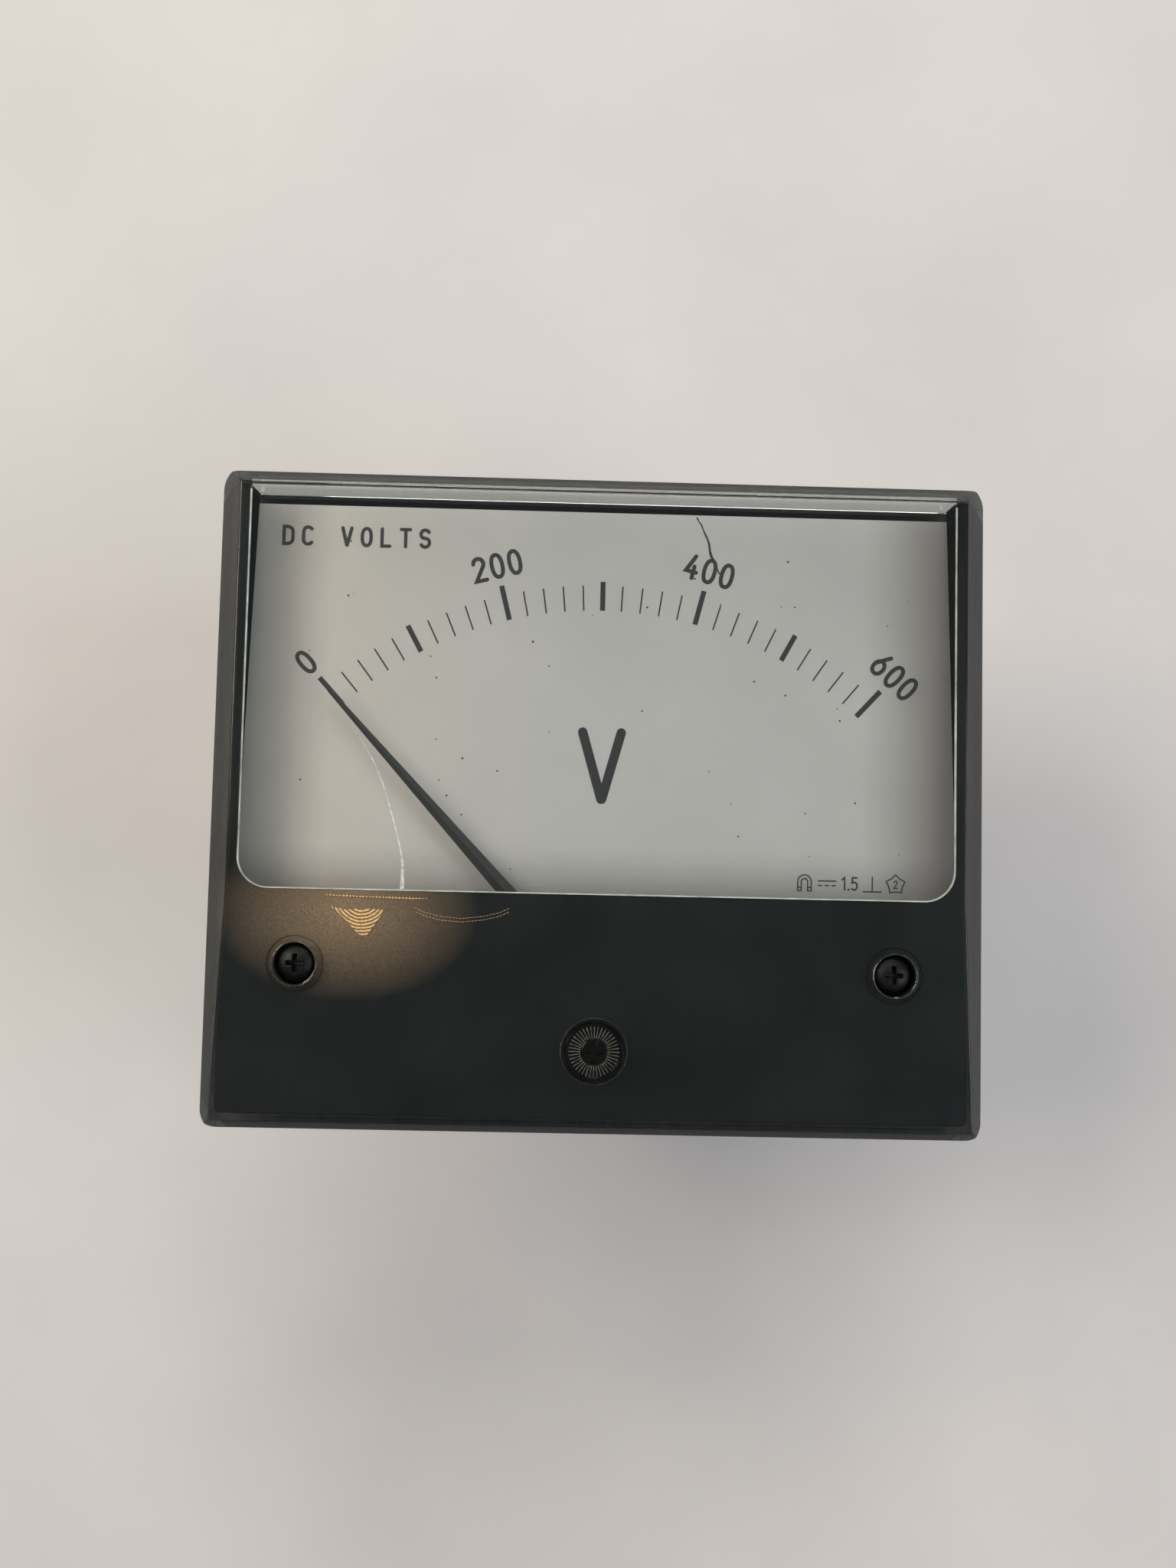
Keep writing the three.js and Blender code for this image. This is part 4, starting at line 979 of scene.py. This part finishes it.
def makePointer():
    # a pressed blade with a raised spine, cranked up from its hub past the dial's notch
    p = pointerSettings

    def half(radius):
        return (p["tipWidth"] + (p["tipRadius"] - radius) * p["taper"]) / 2

    sections = [
        (0.0, p["hubZ"], half(p["riseEnd"]), p["hubHeight"]),
        (p["riseStart"], p["hubZ"], half(p["riseEnd"]), p["hubHeight"]),
        (p["riseEnd"], p["bladeZ"], half(p["riseEnd"]), p["thickness"]),
        (p["riseEnd"] + 1.2, p["bladeZ"], half(p["riseEnd"] + 1.2), p["thickness"]),
        (p["tipRadius"] - 0.15, p["bladeZ"], half(p["tipRadius"]), p["thickness"]),
        (p["tipRadius"], p["bladeZ"], half(p["tipRadius"]) * 0.7, p["thickness"] * 0.8),
    ]
    verts, faces = [], []
    for y, z, w, height in sections:
        verts += [(-w, y, z), (w, y, z), (w, y, z + p["edge"]), (0, y, z + height), (-w, y, z + p["edge"])]
    for k in range(len(sections) - 1):
        a, b = 5 * k, 5 * (k + 1)
        faces += [[a + i, a + (i + 1) % 5, b + (i + 1) % 5, b + i] for i in range(5)]
    faces += [[4, 3, 2, 1, 0], [5 * len(sections) - 5 + i for i in range(5)]]
    blade = meshPiece("blade", verts, faces)
    facesOut(blade)
    top = p["hubZ"] + p["hubHeight"]
    hub = tube("hub", p["hubHole"], p["hubRadius"], p["hubZ"], top)
    w, reach = p["armHalfWidth"], p["armLength"]
    arms = []
    for outline in ([(-reach, -w), (-1.2, -w), (-1.2, w), (-reach, w)],
                    [(1.2, -w), (reach, -w), (reach, w), (1.2, w)],
                    [(-w, -reach), (w, -reach), (w, -1.2), (-w, -1.2)]):
        arms.append(prism("arm", outline, p["hubZ"] + 0.02, top - 0.02))
    pointer = joined("pointer_blade", [blade, hub] + arms)
    placed(pointer, pivotX, pivotY, 0, math.radians(scaleSettings["halfAngle"]))
    finish(pointer, "moving_system", finishes["pointer_paint"], ["pointer"], 20)


makePointer()
print("pointer made")

screwSettings = {
    "headRadius": 2.5, "headHeight": 2.1, "rim": 0.9, "shankRadius": 1.5, "crossLong": 1.45,
    "crossHalf": 0.36, "crossDepth": 1.15,
}


def crossCutter(x, y, topZ, long, half, depth, taper=0.6):
    # a driver's cross, narrower at its foot
    blades = []
    for turned in (False, True):
        verts = []
        for z, k in ((topZ - depth, taper), (topZ + 0.6, 1.0)):
            a, b = (half * k, long * k) if turned else (long * k, half * k)
            verts += [(x - a, y - b, z), (x + a, y - b, z), (x + a, y + b, z), (x - a, y + b, z)]
        faces = [[3, 2, 1, 0], [4, 5, 6, 7], [0, 1, 5, 4], [1, 2, 6, 5], [2, 3, 7, 6], [3, 0, 4, 7]]
        blades.append(meshPiece("blade", verts, faces))
    return blades


def makeCoverScrews():
    s = screwSettings
    for side, word in ((-1, "left"), (1, "right")):
        node = "cover_screw_" + word
        low, high = boxMm(node)
        x, y = side * coverScrewX, coverScrewY
        seat, top = high.z - s["headHeight"], high.z
        crown = arcPoints(0, top - s["headHeight"] + s["rim"], s["headRadius"], s["headHeight"] - s["rim"],
                          0, 90, 12)
        profile = [(0, low.z), (1.0, low.z), (1.5, low.z + 0.6), (s["shankRadius"], seat),
                   (s["headRadius"] - 0.12, seat),
                   (s["headRadius"], seat + 0.12)] + crown[:-1] + [(0, top)]
        screw = lathed("cover_screw_head_" + word, profile, x, y, 72)
        booleanWith(screw, crossCutter(x, y, top, s["crossLong"], s["crossHalf"], s["crossDepth"]))
        bevelled(screw, 0.05, 40)
        finish(screw, "housing", finishes["black_steel"], [node])


makeCoverScrews()
print("cover screws made")

adjusterLow, adjusterHigh = boxMm("zero_adjuster")
adjusterSettings = {
    "headRadius": 3.75, "headHeight": 1.0, "dishRadius": 1.65, "neckRadius": 2.7, "grooveRadius": 2.25,
    "neckFoot": 68.7, "grooveLow": 69.5, "grooveHigh": 70.2, "crossLong": 1.7, "crossHalf": 0.42,
    "crossDepth": 1.4, "pinRadius": 0.6, "eccentric": 0.8, "ribs": 40, "ribInner": 1.75, "ribOuter": 3.2,
    "ribWidth": 0.15, "ribHeight": 0.16,
}


def makeAdjuster():
    a = adjusterSettings
    top = adjusterHigh.z
    under = top - a["headHeight"]
    ribTop = top - 0.02
    plate = ribTop - a["ribHeight"]
    profile = [(0, a["neckFoot"]), (a["neckRadius"], a["neckFoot"]), (a["neckRadius"], a["grooveLow"]),
               (a["grooveRadius"], a["grooveLow"]), (a["grooveRadius"], a["grooveHigh"]),
               (a["neckRadius"], a["grooveHigh"]),
               (a["neckRadius"], under), (a["headRadius"] - 0.1, under), (a["headRadius"], under + 0.1),
               (a["headRadius"], top - 0.15), (a["headRadius"] - 0.12, top), (a["ribOuter"] + 0.1, top),
               (a["ribOuter"] + 0.02, plate), (a["dishRadius"] + 0.08, plate),
               (a["dishRadius"], top - 0.05), (a["dishRadius"] - 0.1, top), (0, top)]
    head = lathed("zero_adjuster_head", profile, adjusterX, adjusterY, 96)
    booleanWith(head, crossCutter(
        adjusterX, adjusterY, top, a["crossLong"], a["crossHalf"], a["crossDepth"], 0.85))
    pin = rod(adjusterX, adjusterY - a["eccentric"], a["pinRadius"], adjusterLow.z, a["neckFoot"] + 0.3, 24)
    booleanWith(head, [pin], "UNION")
    finish(head, "zero_adjuster", smokedAcrylic, ["zero_adjuster"])

    tree, given = geometryTree("adjusterRibs", {
        "Count": "Int", "Centre": "Vector", "Radius": "Float", "Size": "Vector", "Material": "Material"})
    number = addNode(tree, "GeometryNodeInputIndex").outputs[0]
    share = addNode(tree, "ShaderNodeMath", {0: number, 1: given["Count"]}, operation="DIVIDE").outputs[0]
    angle = addNode(tree, "ShaderNodeMath", {0: share}, {1: 2 * math.pi}, operation="MULTIPLY").outputs[0]
    reach = addNode(tree, "ShaderNodeCombineXYZ", {"X": given["Radius"]}).outputs[0]
    peak = addNode(tree, "GeometryNodeMeshCone", values={
        "Vertices": 4, "Radius Top": 0.2, "Radius Bottom": math.sqrt(0.5), "Depth": 1.0}).outputs[0]
    square = addNode(tree, "GeometryNodeTransform", {"Geometry": peak},
                     {"Rotation": (0, 0, math.radians(45))}).outputs[0]
    ribs = stoodRound(tree, given["Count"], angle, reach, given["Centre"], square, given["Size"])
    endTree(tree, ribs, given["Material"])
    # ribs in the material painted paler as the highlights on their crests
    ribs = grown("zero_adjuster_ribs", tree, {
        "Count": a["ribs"], "Centre": (adjusterX * mm, adjusterY * mm, (plate + 0.003) * mm),
        "Radius": (a["ribInner"] + a["ribOuter"]) / 2 * mm,
        "Size": ((a["ribOuter"] - a["ribInner"]) * mm, a["ribWidth"] * mm, a["ribHeight"] * mm),
        "Material": ribAndEdgeHighlight})
    finish(ribs, "zero_adjuster", ribAndEdgeHighlight, (), 20)


makeAdjuster()
print("zero adjuster made")

damageSettings = {
    "glassZ": coverHigh.z - 1.94, "thickness": 0.03,
    "darkCrack": [(11.88, 37.48), (12.18, 36.93), (12.52, 36.49), (12.78, 35.81), (13.12, 35.06),
                  (13.37, 34.56), (13.56, 33.94), (13.65, 33.19), (13.76, 32.68), (13.96, 32.19),
                  (14.27, 31.79), (14.58, 30.94), (14.88, 30.2), (15.3, 30.13), (15.59, 30.47)],
    "darkWidths": (0.22, 0.14, 0.2, 0.16, 0.26, 0.22, 0.3, 0.28, 0.36, 0.34, 0.2, 0.16, 0.2, 0.26, 0.16),
    "paleCrack": [(-31.44, 8.57), (-30.2, 6.53), (-28.95, 4.49), (-27.79, 1.86), (-26.93, -0.67),
                  (-26.17, -3.2), (-25.51, -5.54), (-25.17, -7.09), (-24.93, -8.55), (-24.92, -10.21),
                  (-24.93, -11.67)],
    "paleWidths": (0.05, 0.1, 0.12, 0.13, 0.14, 0.16, 0.2, 0.24, 0.32, 0.42, 0.55),
    "void": [(-33.95, -13.98), (-32.55, -15.05), (-31.5, -16.2), (-30.42, -17.35), (-29.35, -17.75),
             (-27.0, -14.3), (-28.5, -14.2), (-30.45, -14.2), (-31.95, -14.35)],
    "bareLine": [(-34.8, -12.5), (-32.0, -12.6), (-29.0, -12.66), (-26.0, -12.7), (-23.5, -12.75),
                 (-21.6, -12.7)],
    "bareWidths": (0.08, 0.2, 0.12, 0.2, 0.16, 0.05),
    "flap": [(-23.2, -14.4), (-22.0, -14.9), (-20.0, -15.4), (-17.3, -15.6), (-14.6, -15.3),
             (-12.5, -14.8), (-11.2, -14.2)],
    "flapRows": 2, "flapStep": 0.45, "fringe": 0.42, "fringeCentre": (-30.0, -12.6), "filmGrain": 0.3,
    "filmDepth": 0.01, "flapWidth": 0.045, "rowLift": 0.0002, "specks": 44, "speckSize": 0.09,
    "speckArea": (88.0, 44.0), "speckCentre": (0.0, 13.0), "speckSeed": 7,
}


def makeFilmMaterial():
    # a film of air where the lacquer has let go: golden and bright, a painted reflection of the light that
    # the film mirrors, banded in rings a few tenths of a mm apart
    d = damageSettings
    material, tree, _ = newMaterial("lifted_lacquer_film", "#C79A55", 0.25, Metallic=0.35)
    place = addNode(tree, "ShaderNodeTexCoord").outputs["Object"]
    x, y = d["fringeCentre"]
    about = addNode(tree, "ShaderNodeMapping", {"Vector": place},
                    {"Location": (-x * mm, -y * mm, 0), "Scale": (1, 1, 0)})
    rings = addNode(tree, "ShaderNodeTexWave", {"Vector": about.outputs[0]},
                    {"Scale": 0.314 / (d["fringe"] * mm), "Distortion": 1.5, "Detail": 1.0,
                     "Detail Scale": 0.5},
                    wave_type="RINGS", rings_direction="SPHERICAL")
    tone = addNode(tree, "ShaderNodeValToRGB", {"Fac": rings.outputs["Fac"]},
                   stops=[(0.0, "#7A5226"), (0.35, "#C08F4E"), (0.7, "#E8C489"), (1.0, "#F2DDB6")])
    grain = addNode(tree, "ShaderNodeTexNoise", {"Vector": place}, {"Scale": 1 / (d["filmGrain"] * mm)})
    gloss = addNode(tree, "ShaderNodeMapRange", {"Value": grain.outputs["Fac"]},
                    span(0.3, 0.7, 0.18, 0.4))
    return surfaced(material, tone.outputs["Color"], gloss.outputs[0], rings.outputs["Fac"], d["filmDepth"])


def onSlope(piece):
    # lower a flat piece on to the sloped part of the face
    for vertex in piece.data.vertices:
        vertex.co.z -= max(0.0, coverSettings["foldY"] * mm - vertex.co.y) * faceSlope
    return piece


def makeSpecks():
    # grit and fly specks on the dial, scattered once with a fixed seed
    d = damageSettings
    tree, given = geometryTree("specks", {
        "Width": "Float", "Height": "Float", "Density": "Float", "Seed": "Int", "Centre": "Vector",
        "Size": "Float", "Material": "Material"})
    plate = addNode(tree, "GeometryNodeMeshGrid",
                    {"Size X": given["Width"], "Size Y": given["Height"]}).outputs[0]
    moved = addNode(tree, "GeometryNodeTransform",
                    {"Geometry": plate, "Translation": given["Centre"]}).outputs[0]
    points = addNode(tree, "GeometryNodeDistributePointsOnFaces", {
        "Mesh": moved, "Density": given["Density"], "Seed": given["Seed"]}).outputs[0]
    size = addNode(tree, "FunctionNodeRandomValue", {"Seed": given["Seed"]}, {2: 0.5, 3: 1.7},
                   data_type="FLOAT").outputs[1]
    scale = addNode(tree, "ShaderNodeMath", {0: size, 1: given["Size"]}, operation="MULTIPLY").outputs[0]
    flat = addNode(tree, "ShaderNodeCombineXYZ", {"X": scale, "Y": scale, "Z": given["Size"]}).outputs[0]
    crumb = addNode(tree, "GeometryNodeMeshIcoSphere", values={"Radius": 1.0, "Subdivisions": 1}).outputs[0]
    crumbs = addNode(tree, "GeometryNodeInstanceOnPoints", {
        "Points": points, "Instance": crumb, "Scale": flat}).outputs[0]
    endTree(tree, crumbs, given["Material"])
    width, height = d["speckArea"]
    x, y = d["speckCentre"]
    specks = grown("dial_specks", tree, {
        "Width": width * mm, "Height": height * mm, "Density": d["specks"] / (width * height * mm * mm),
        "Seed": d["speckSeed"], "Centre": (x * mm, y * mm, (dialHigh.z + 0.05) * mm),
        "Size": d["speckSize"] * mm, "Material": inkMaterial})
    finish(specks, "housing", inkMaterial)


def makeDamage():
    d = damageSettings
    dark = ribbon(d["darkCrack"], d["darkWidths"], False, d["glassZ"])
    finish(ribbonPiece("crack_upper", [dark], d["thickness"]), "housing", inkMaterial)
    pale = ribbon(d["paleCrack"], d["paleWidths"], False, d["glassZ"])
    finish(ribbonPiece("crack_lower", [pale], d["thickness"]), "housing", crackMaterial)
    film = makeFilmMaterial()
    patch = prism("lacquer_void", d["void"], d["glassZ"], d["glassZ"] + d["thickness"])
    bare = ribbonPiece("bare", [ribbon(d["bareLine"], d["bareWidths"], False, d["glassZ"])], d["thickness"])
    finish(onSlope(joined("lacquer_void", [patch, bare])), "housing", film)
    arcs = []
    for row in range(d["flapRows"]):
        drop = row * d["flapStep"]
        arcs.append(ribbon([(x, y + drop) for x, y in d["flap"]], d["flapWidth"], False,
                           d["glassZ"] + d["rowLift"] * row))
    finish(onSlope(ribbonPiece("lacquer_flap", arcs, d["thickness"])), "housing", film)
    makeSpecks()


makeDamage()
print("cracks, lifted lacquer and specks made")

caseLow, caseHigh = boxMm("rear_case")
terminalX, terminalY, _ = centreMm("terminal_stud_neg")
caseSettings = {
    "flangeThickness": 2.5, "flangeCorner": 1.5, "barrelRadius": 32.5, "wall": 2.0, "backZ": 14.0,
    "backWall": 2.5, "edgeRadius": 1.4, "stepZ": 22.0, "step": 0.35, "ribHalfWidth": 1.0,
    "ribHalfLength": 13.0, "ribFloor": 0.0, "grooveInner": 6.3, "grooveOuter": 6.9, "grooveDepth": 0.35,
    "markSize": 1.7, "markWidth": 0.7, "markHeight": 0.35, "markY": -10.5, "rimInner": 29.2,
    "rimOuter": 30.0, "rimDepth": 0.3, "pinMark": 1.8, "pinRing": 24.0, "pinDepth": 0.15,
    "terminalHole": 2.8, "barrelGap": 6.0,
}


def makeRearCase():
    # a moulded flange and barrel: rounded back edge, shallow step, rib between terminals, plain pole marks
    c = caseSettings
    r, back, e = c["barrelRadius"], c["backZ"], c["edgeRadius"]
    y = terminalY
    edge = arcPoints(r - c["step"] - e, back + e, e, e, -90, 0, 7)
    profile = [(0, back)] + edge + [
        (r - c["step"], c["stepZ"]), (r, c["stepZ"] + 0.4), (r, caseHigh.z - c["barrelGap"]),
        (r - c["wall"], caseHigh.z - c["barrelGap"]), (r - c["wall"], back + c["backWall"]),
        (0, back + c["backWall"])]
    flangeTop = coverLow.z + c["flangeThickness"]
    profile = [(px, min(pz, flangeTop - 0.02)) for px, pz in profile]
    barrel = lathed("rear_case_shell", profile, 0, y, 128)
    flangeLow, flangeHigh = Vector((caseLow.x, caseLow.y)), Vector((caseHigh.x, caseHigh.y))
    outline = roundedOutline(flangeLow.x, flangeHigh.x, flangeLow.y, flangeHigh.y, c["flangeCorner"])
    flange = prism("flange", outline, coverLow.z, flangeTop)
    booleanWith(flange, [rod(0, y, r - c["wall"] + 0.01, 0, 80, 128)])
    booleanWith(barrel, [flange], "UNION")
    ribOutline = roundedOutline(-c["ribHalfWidth"], c["ribHalfWidth"], y - c["ribHalfLength"],
                                y + c["ribHalfLength"], 0.9, 6)
    booleanWith(barrel, [prism("rib", ribOutline, c["ribFloor"], back + 0.5)], "UNION")
    cutters = []
    for side in (-1, 1):
        x = side * terminalX
        cutters.append(tube("groove", c["grooveInner"], c["grooveOuter"], back - 1, back + c["grooveDepth"],
                            x, y, 48))
        cutters.append(rod(x, y, c["terminalHole"], 0, 30, 32))
    cutters.append(tube("rim", c["rimInner"], c["rimOuter"], back - 1, back + c["rimDepth"], 0, y, 128))
    for angle in (45, 135, 225, 315):
        a = math.radians(angle)
        cutters.append(rod(c["pinRing"] * math.cos(a), y + c["pinRing"] * math.sin(a), c["pinMark"],
                           back - 1, back + c["pinDepth"], 32))
    booleanWith(barrel, cutters)
    bevelled(barrel, 0.2, 40)
    finish(barrel, "housing", finishes["black_moulding"], ["rear_case"], flatFaces=True)
    # pole marks, looked at from behind: plus at -X, minus at +X
    s, w = c["markSize"], c["markWidth"] / 2
    markY = y + c["markY"]
    bars = [prism("bar", roundedOutline(x - s, x + s, markY - w, markY + w, 0.2, 4), back - c["markHeight"],
                  back + 0.1)
            for x in (-terminalX, terminalX)]
    bars.append(prism("bar", roundedOutline(-terminalX - w, -terminalX + w, markY - s, markY + s, 0.2, 4),
                      back - c["markHeight"] - 0.01, back + 0.1))
    finish(joined("pole_marks", bars), "housing", finishes["black_moulding"])


makeRearCase()
print("rear case made")

threadSettings = {"panel": dict(pitch=0.7, depth=0.34), "terminal": dict(pitch=0.8, depth=0.38),
                  "stepsPerTurn": 20}
nutSettings = {
    "panelAcross": 7.0, "panelHole": 2.05, "terminalAcross": 8.0, "terminalHole": 2.55, "drop": 0.45,
    "lead": 0.4, "headHeight": 3.0, "headHole": 1.0, "washerHole": 2.6, "washerEdge": 0.15,
    "terminalRadius": 2.5,
}


def makeThreadTree():
    # one helix swept with a square section on its corner: the thread's crests and roots
    tree, given = geometryTree("threads", {
        "Turns": "Float", "Radius": "Float", "Height": "Float", "Depth": "Float", "Place": "Vector",
        "Steps": "Int", "Material": "Material"})
    helix = addNode(tree, "GeometryNodeCurveSpiral", {
        "Resolution": given["Steps"], "Rotations": given["Turns"], "Start Radius": given["Radius"],
        "End Radius": given["Radius"], "Height": given["Height"]}).outputs[0]
    upright = addNode(tree, "GeometryNodeSetCurveNormal", {"Curve": helix}, mode="Z_UP").outputs[0]
    section = addNode(tree, "GeometryNodeCurvePrimitiveCircle", {"Radius": given["Depth"]},
                      {"Resolution": 4}).outputs[0]
    swept = addNode(tree, "GeometryNodeCurveToMesh", {"Curve": upright, "Profile Curve": section},
                    {"Fill Caps": True}).outputs[0]
    moved = addNode(tree, "GeometryNodeTransform",
                    {"Geometry": swept, "Translation": given["Place"]}).outputs[0]
    endTree(tree, moved, given["Material"])
    return tree


threadTree = makeThreadTree()


def threadedRod(name, x, y, radius, z0, z1, threadTop, look, material):
    core = radius - look["depth"] * 0.9
    shank = lathed("shank",
                   [(0, z0), (core - 0.4, z0), (core, z0 + 0.45), (core, threadTop), (core, z1), (0, z1)],
                   x, y, 40)
    low = z0 + 0.5
    thread = grown("thread", threadTree, {
        "Turns": (threadTop - low) / look["pitch"], "Radius": (radius - look["depth"]) * mm,
        "Height": (threadTop - low) * mm, "Depth": look["depth"] * mm, "Place": (x * mm, y * mm, low * mm),
        "Steps": threadSettings["stepsPerTurn"], "Material": material})
    facesOut(thread)
    return joined(name, [shank, thread])


def hexNut(name, x, y, across, hole, z0, z1):
    # a turned hexagon with a cone taken off its corners at both faces
    corner = across / math.sqrt(3)
    hexagon = [(x + corner * math.cos(math.radians(60 * k)), y + corner * math.sin(math.radians(60 * k)))
               for k in range(6)]
    nut = prism(name, hexagon, z0, z1)
    drop, lead = nutSettings["drop"], nutSettings["lead"]
    cone = [(0, z0 - 0.01), (across / 2 - 0.05, z0 - 0.01), (corner + 0.1, z0 + drop),
            (corner + 0.1, z1 - drop), (across / 2 - 0.05, z1 + 0.01), (0, z1 + 0.01)]
    booleanWith(nut, [lathed("cone", cone, x, y, 64)], "INTERSECT")
    bore = [(0, z0 - 1), (hole + lead, z0 - 0.05), (hole, z0 + 0.35), (hole, z1 - 0.35),
            (hole + lead, z1 + 0.05), (0, z1 + 1)]
    booleanWith(nut, [lathed("bore", bore, x, y, 40)])
    return bevelled(nut, 0.06)


def makeFixings():
    steel, brass, n = finishes["plated_steel"], finishes["brass"], nutSettings
    for corner in ("lower_left", "lower_right", "upper_left", "upper_right"):
        stud, nut = "panel_stud_" + corner, "panel_nut_" + corner
        x, y, _ = centreMm(stud)
        low, high = boxMm(stud)
        rodPiece = threadedRod("threaded_" + stud, x, y, (high.x - low.x) / 2, low.z, high.z,
                               coverLow.z - 0.2, threadSettings["panel"], steel)
        finish(rodPiece, "housing", steel, [stud])
        low, high = boxMm(nut)
        finish(hexNut("chamfered_" + nut, x, y, n["panelAcross"], n["panelHole"], low.z, high.z), "housing",
               steel, [nut])
    for side, pole in ((-1, "pos"), (1, "neg")):
        x, y = side * terminalX, terminalY
        low, high = boxMm("terminal_stud_" + pole)
        stud = threadedRod("stud", x, y, n["terminalRadius"], low.z, high.z - n["headHeight"] - 0.2,
                           caseSettings["backZ"] + 1.5, threadSettings["terminal"], brass)
        head = hexNut("head", x, y, n["terminalAcross"], n["headHole"], high.z - n["headHeight"], high.z)
        finish(joined("threaded_terminal_" + pole, [stud, head]), "housing", brass,
               ["terminal_stud_" + pole])
        for kind in ("terminal_clamp_nut_", "terminal_nut_"):
            low, high = boxMm(kind + pole)
            nut = hexNut("chamfered_" + kind + pole, x, y, n["terminalAcross"], n["terminalHole"], low.z,
                         high.z)
            finish(nut, "housing", brass, [kind + pole])
        low, high = boxMm("terminal_washer_" + pole)
        r = (high.x - low.x) / 2
        hole, e = n["washerHole"], n["washerEdge"]
        profile = [(hole, low.z), (r - e, low.z), (r, low.z + e), (r, high.z - e), (r - e, high.z),
                   (hole, high.z)]
        washer = lathed("turned_washer_" + pole, profile, x, y, 64)
        finish(washer, "housing", brass, ["terminal_washer_" + pole])


makeFixings()
print("studs, nuts and washers made")

bpy.context.view_layer.update()
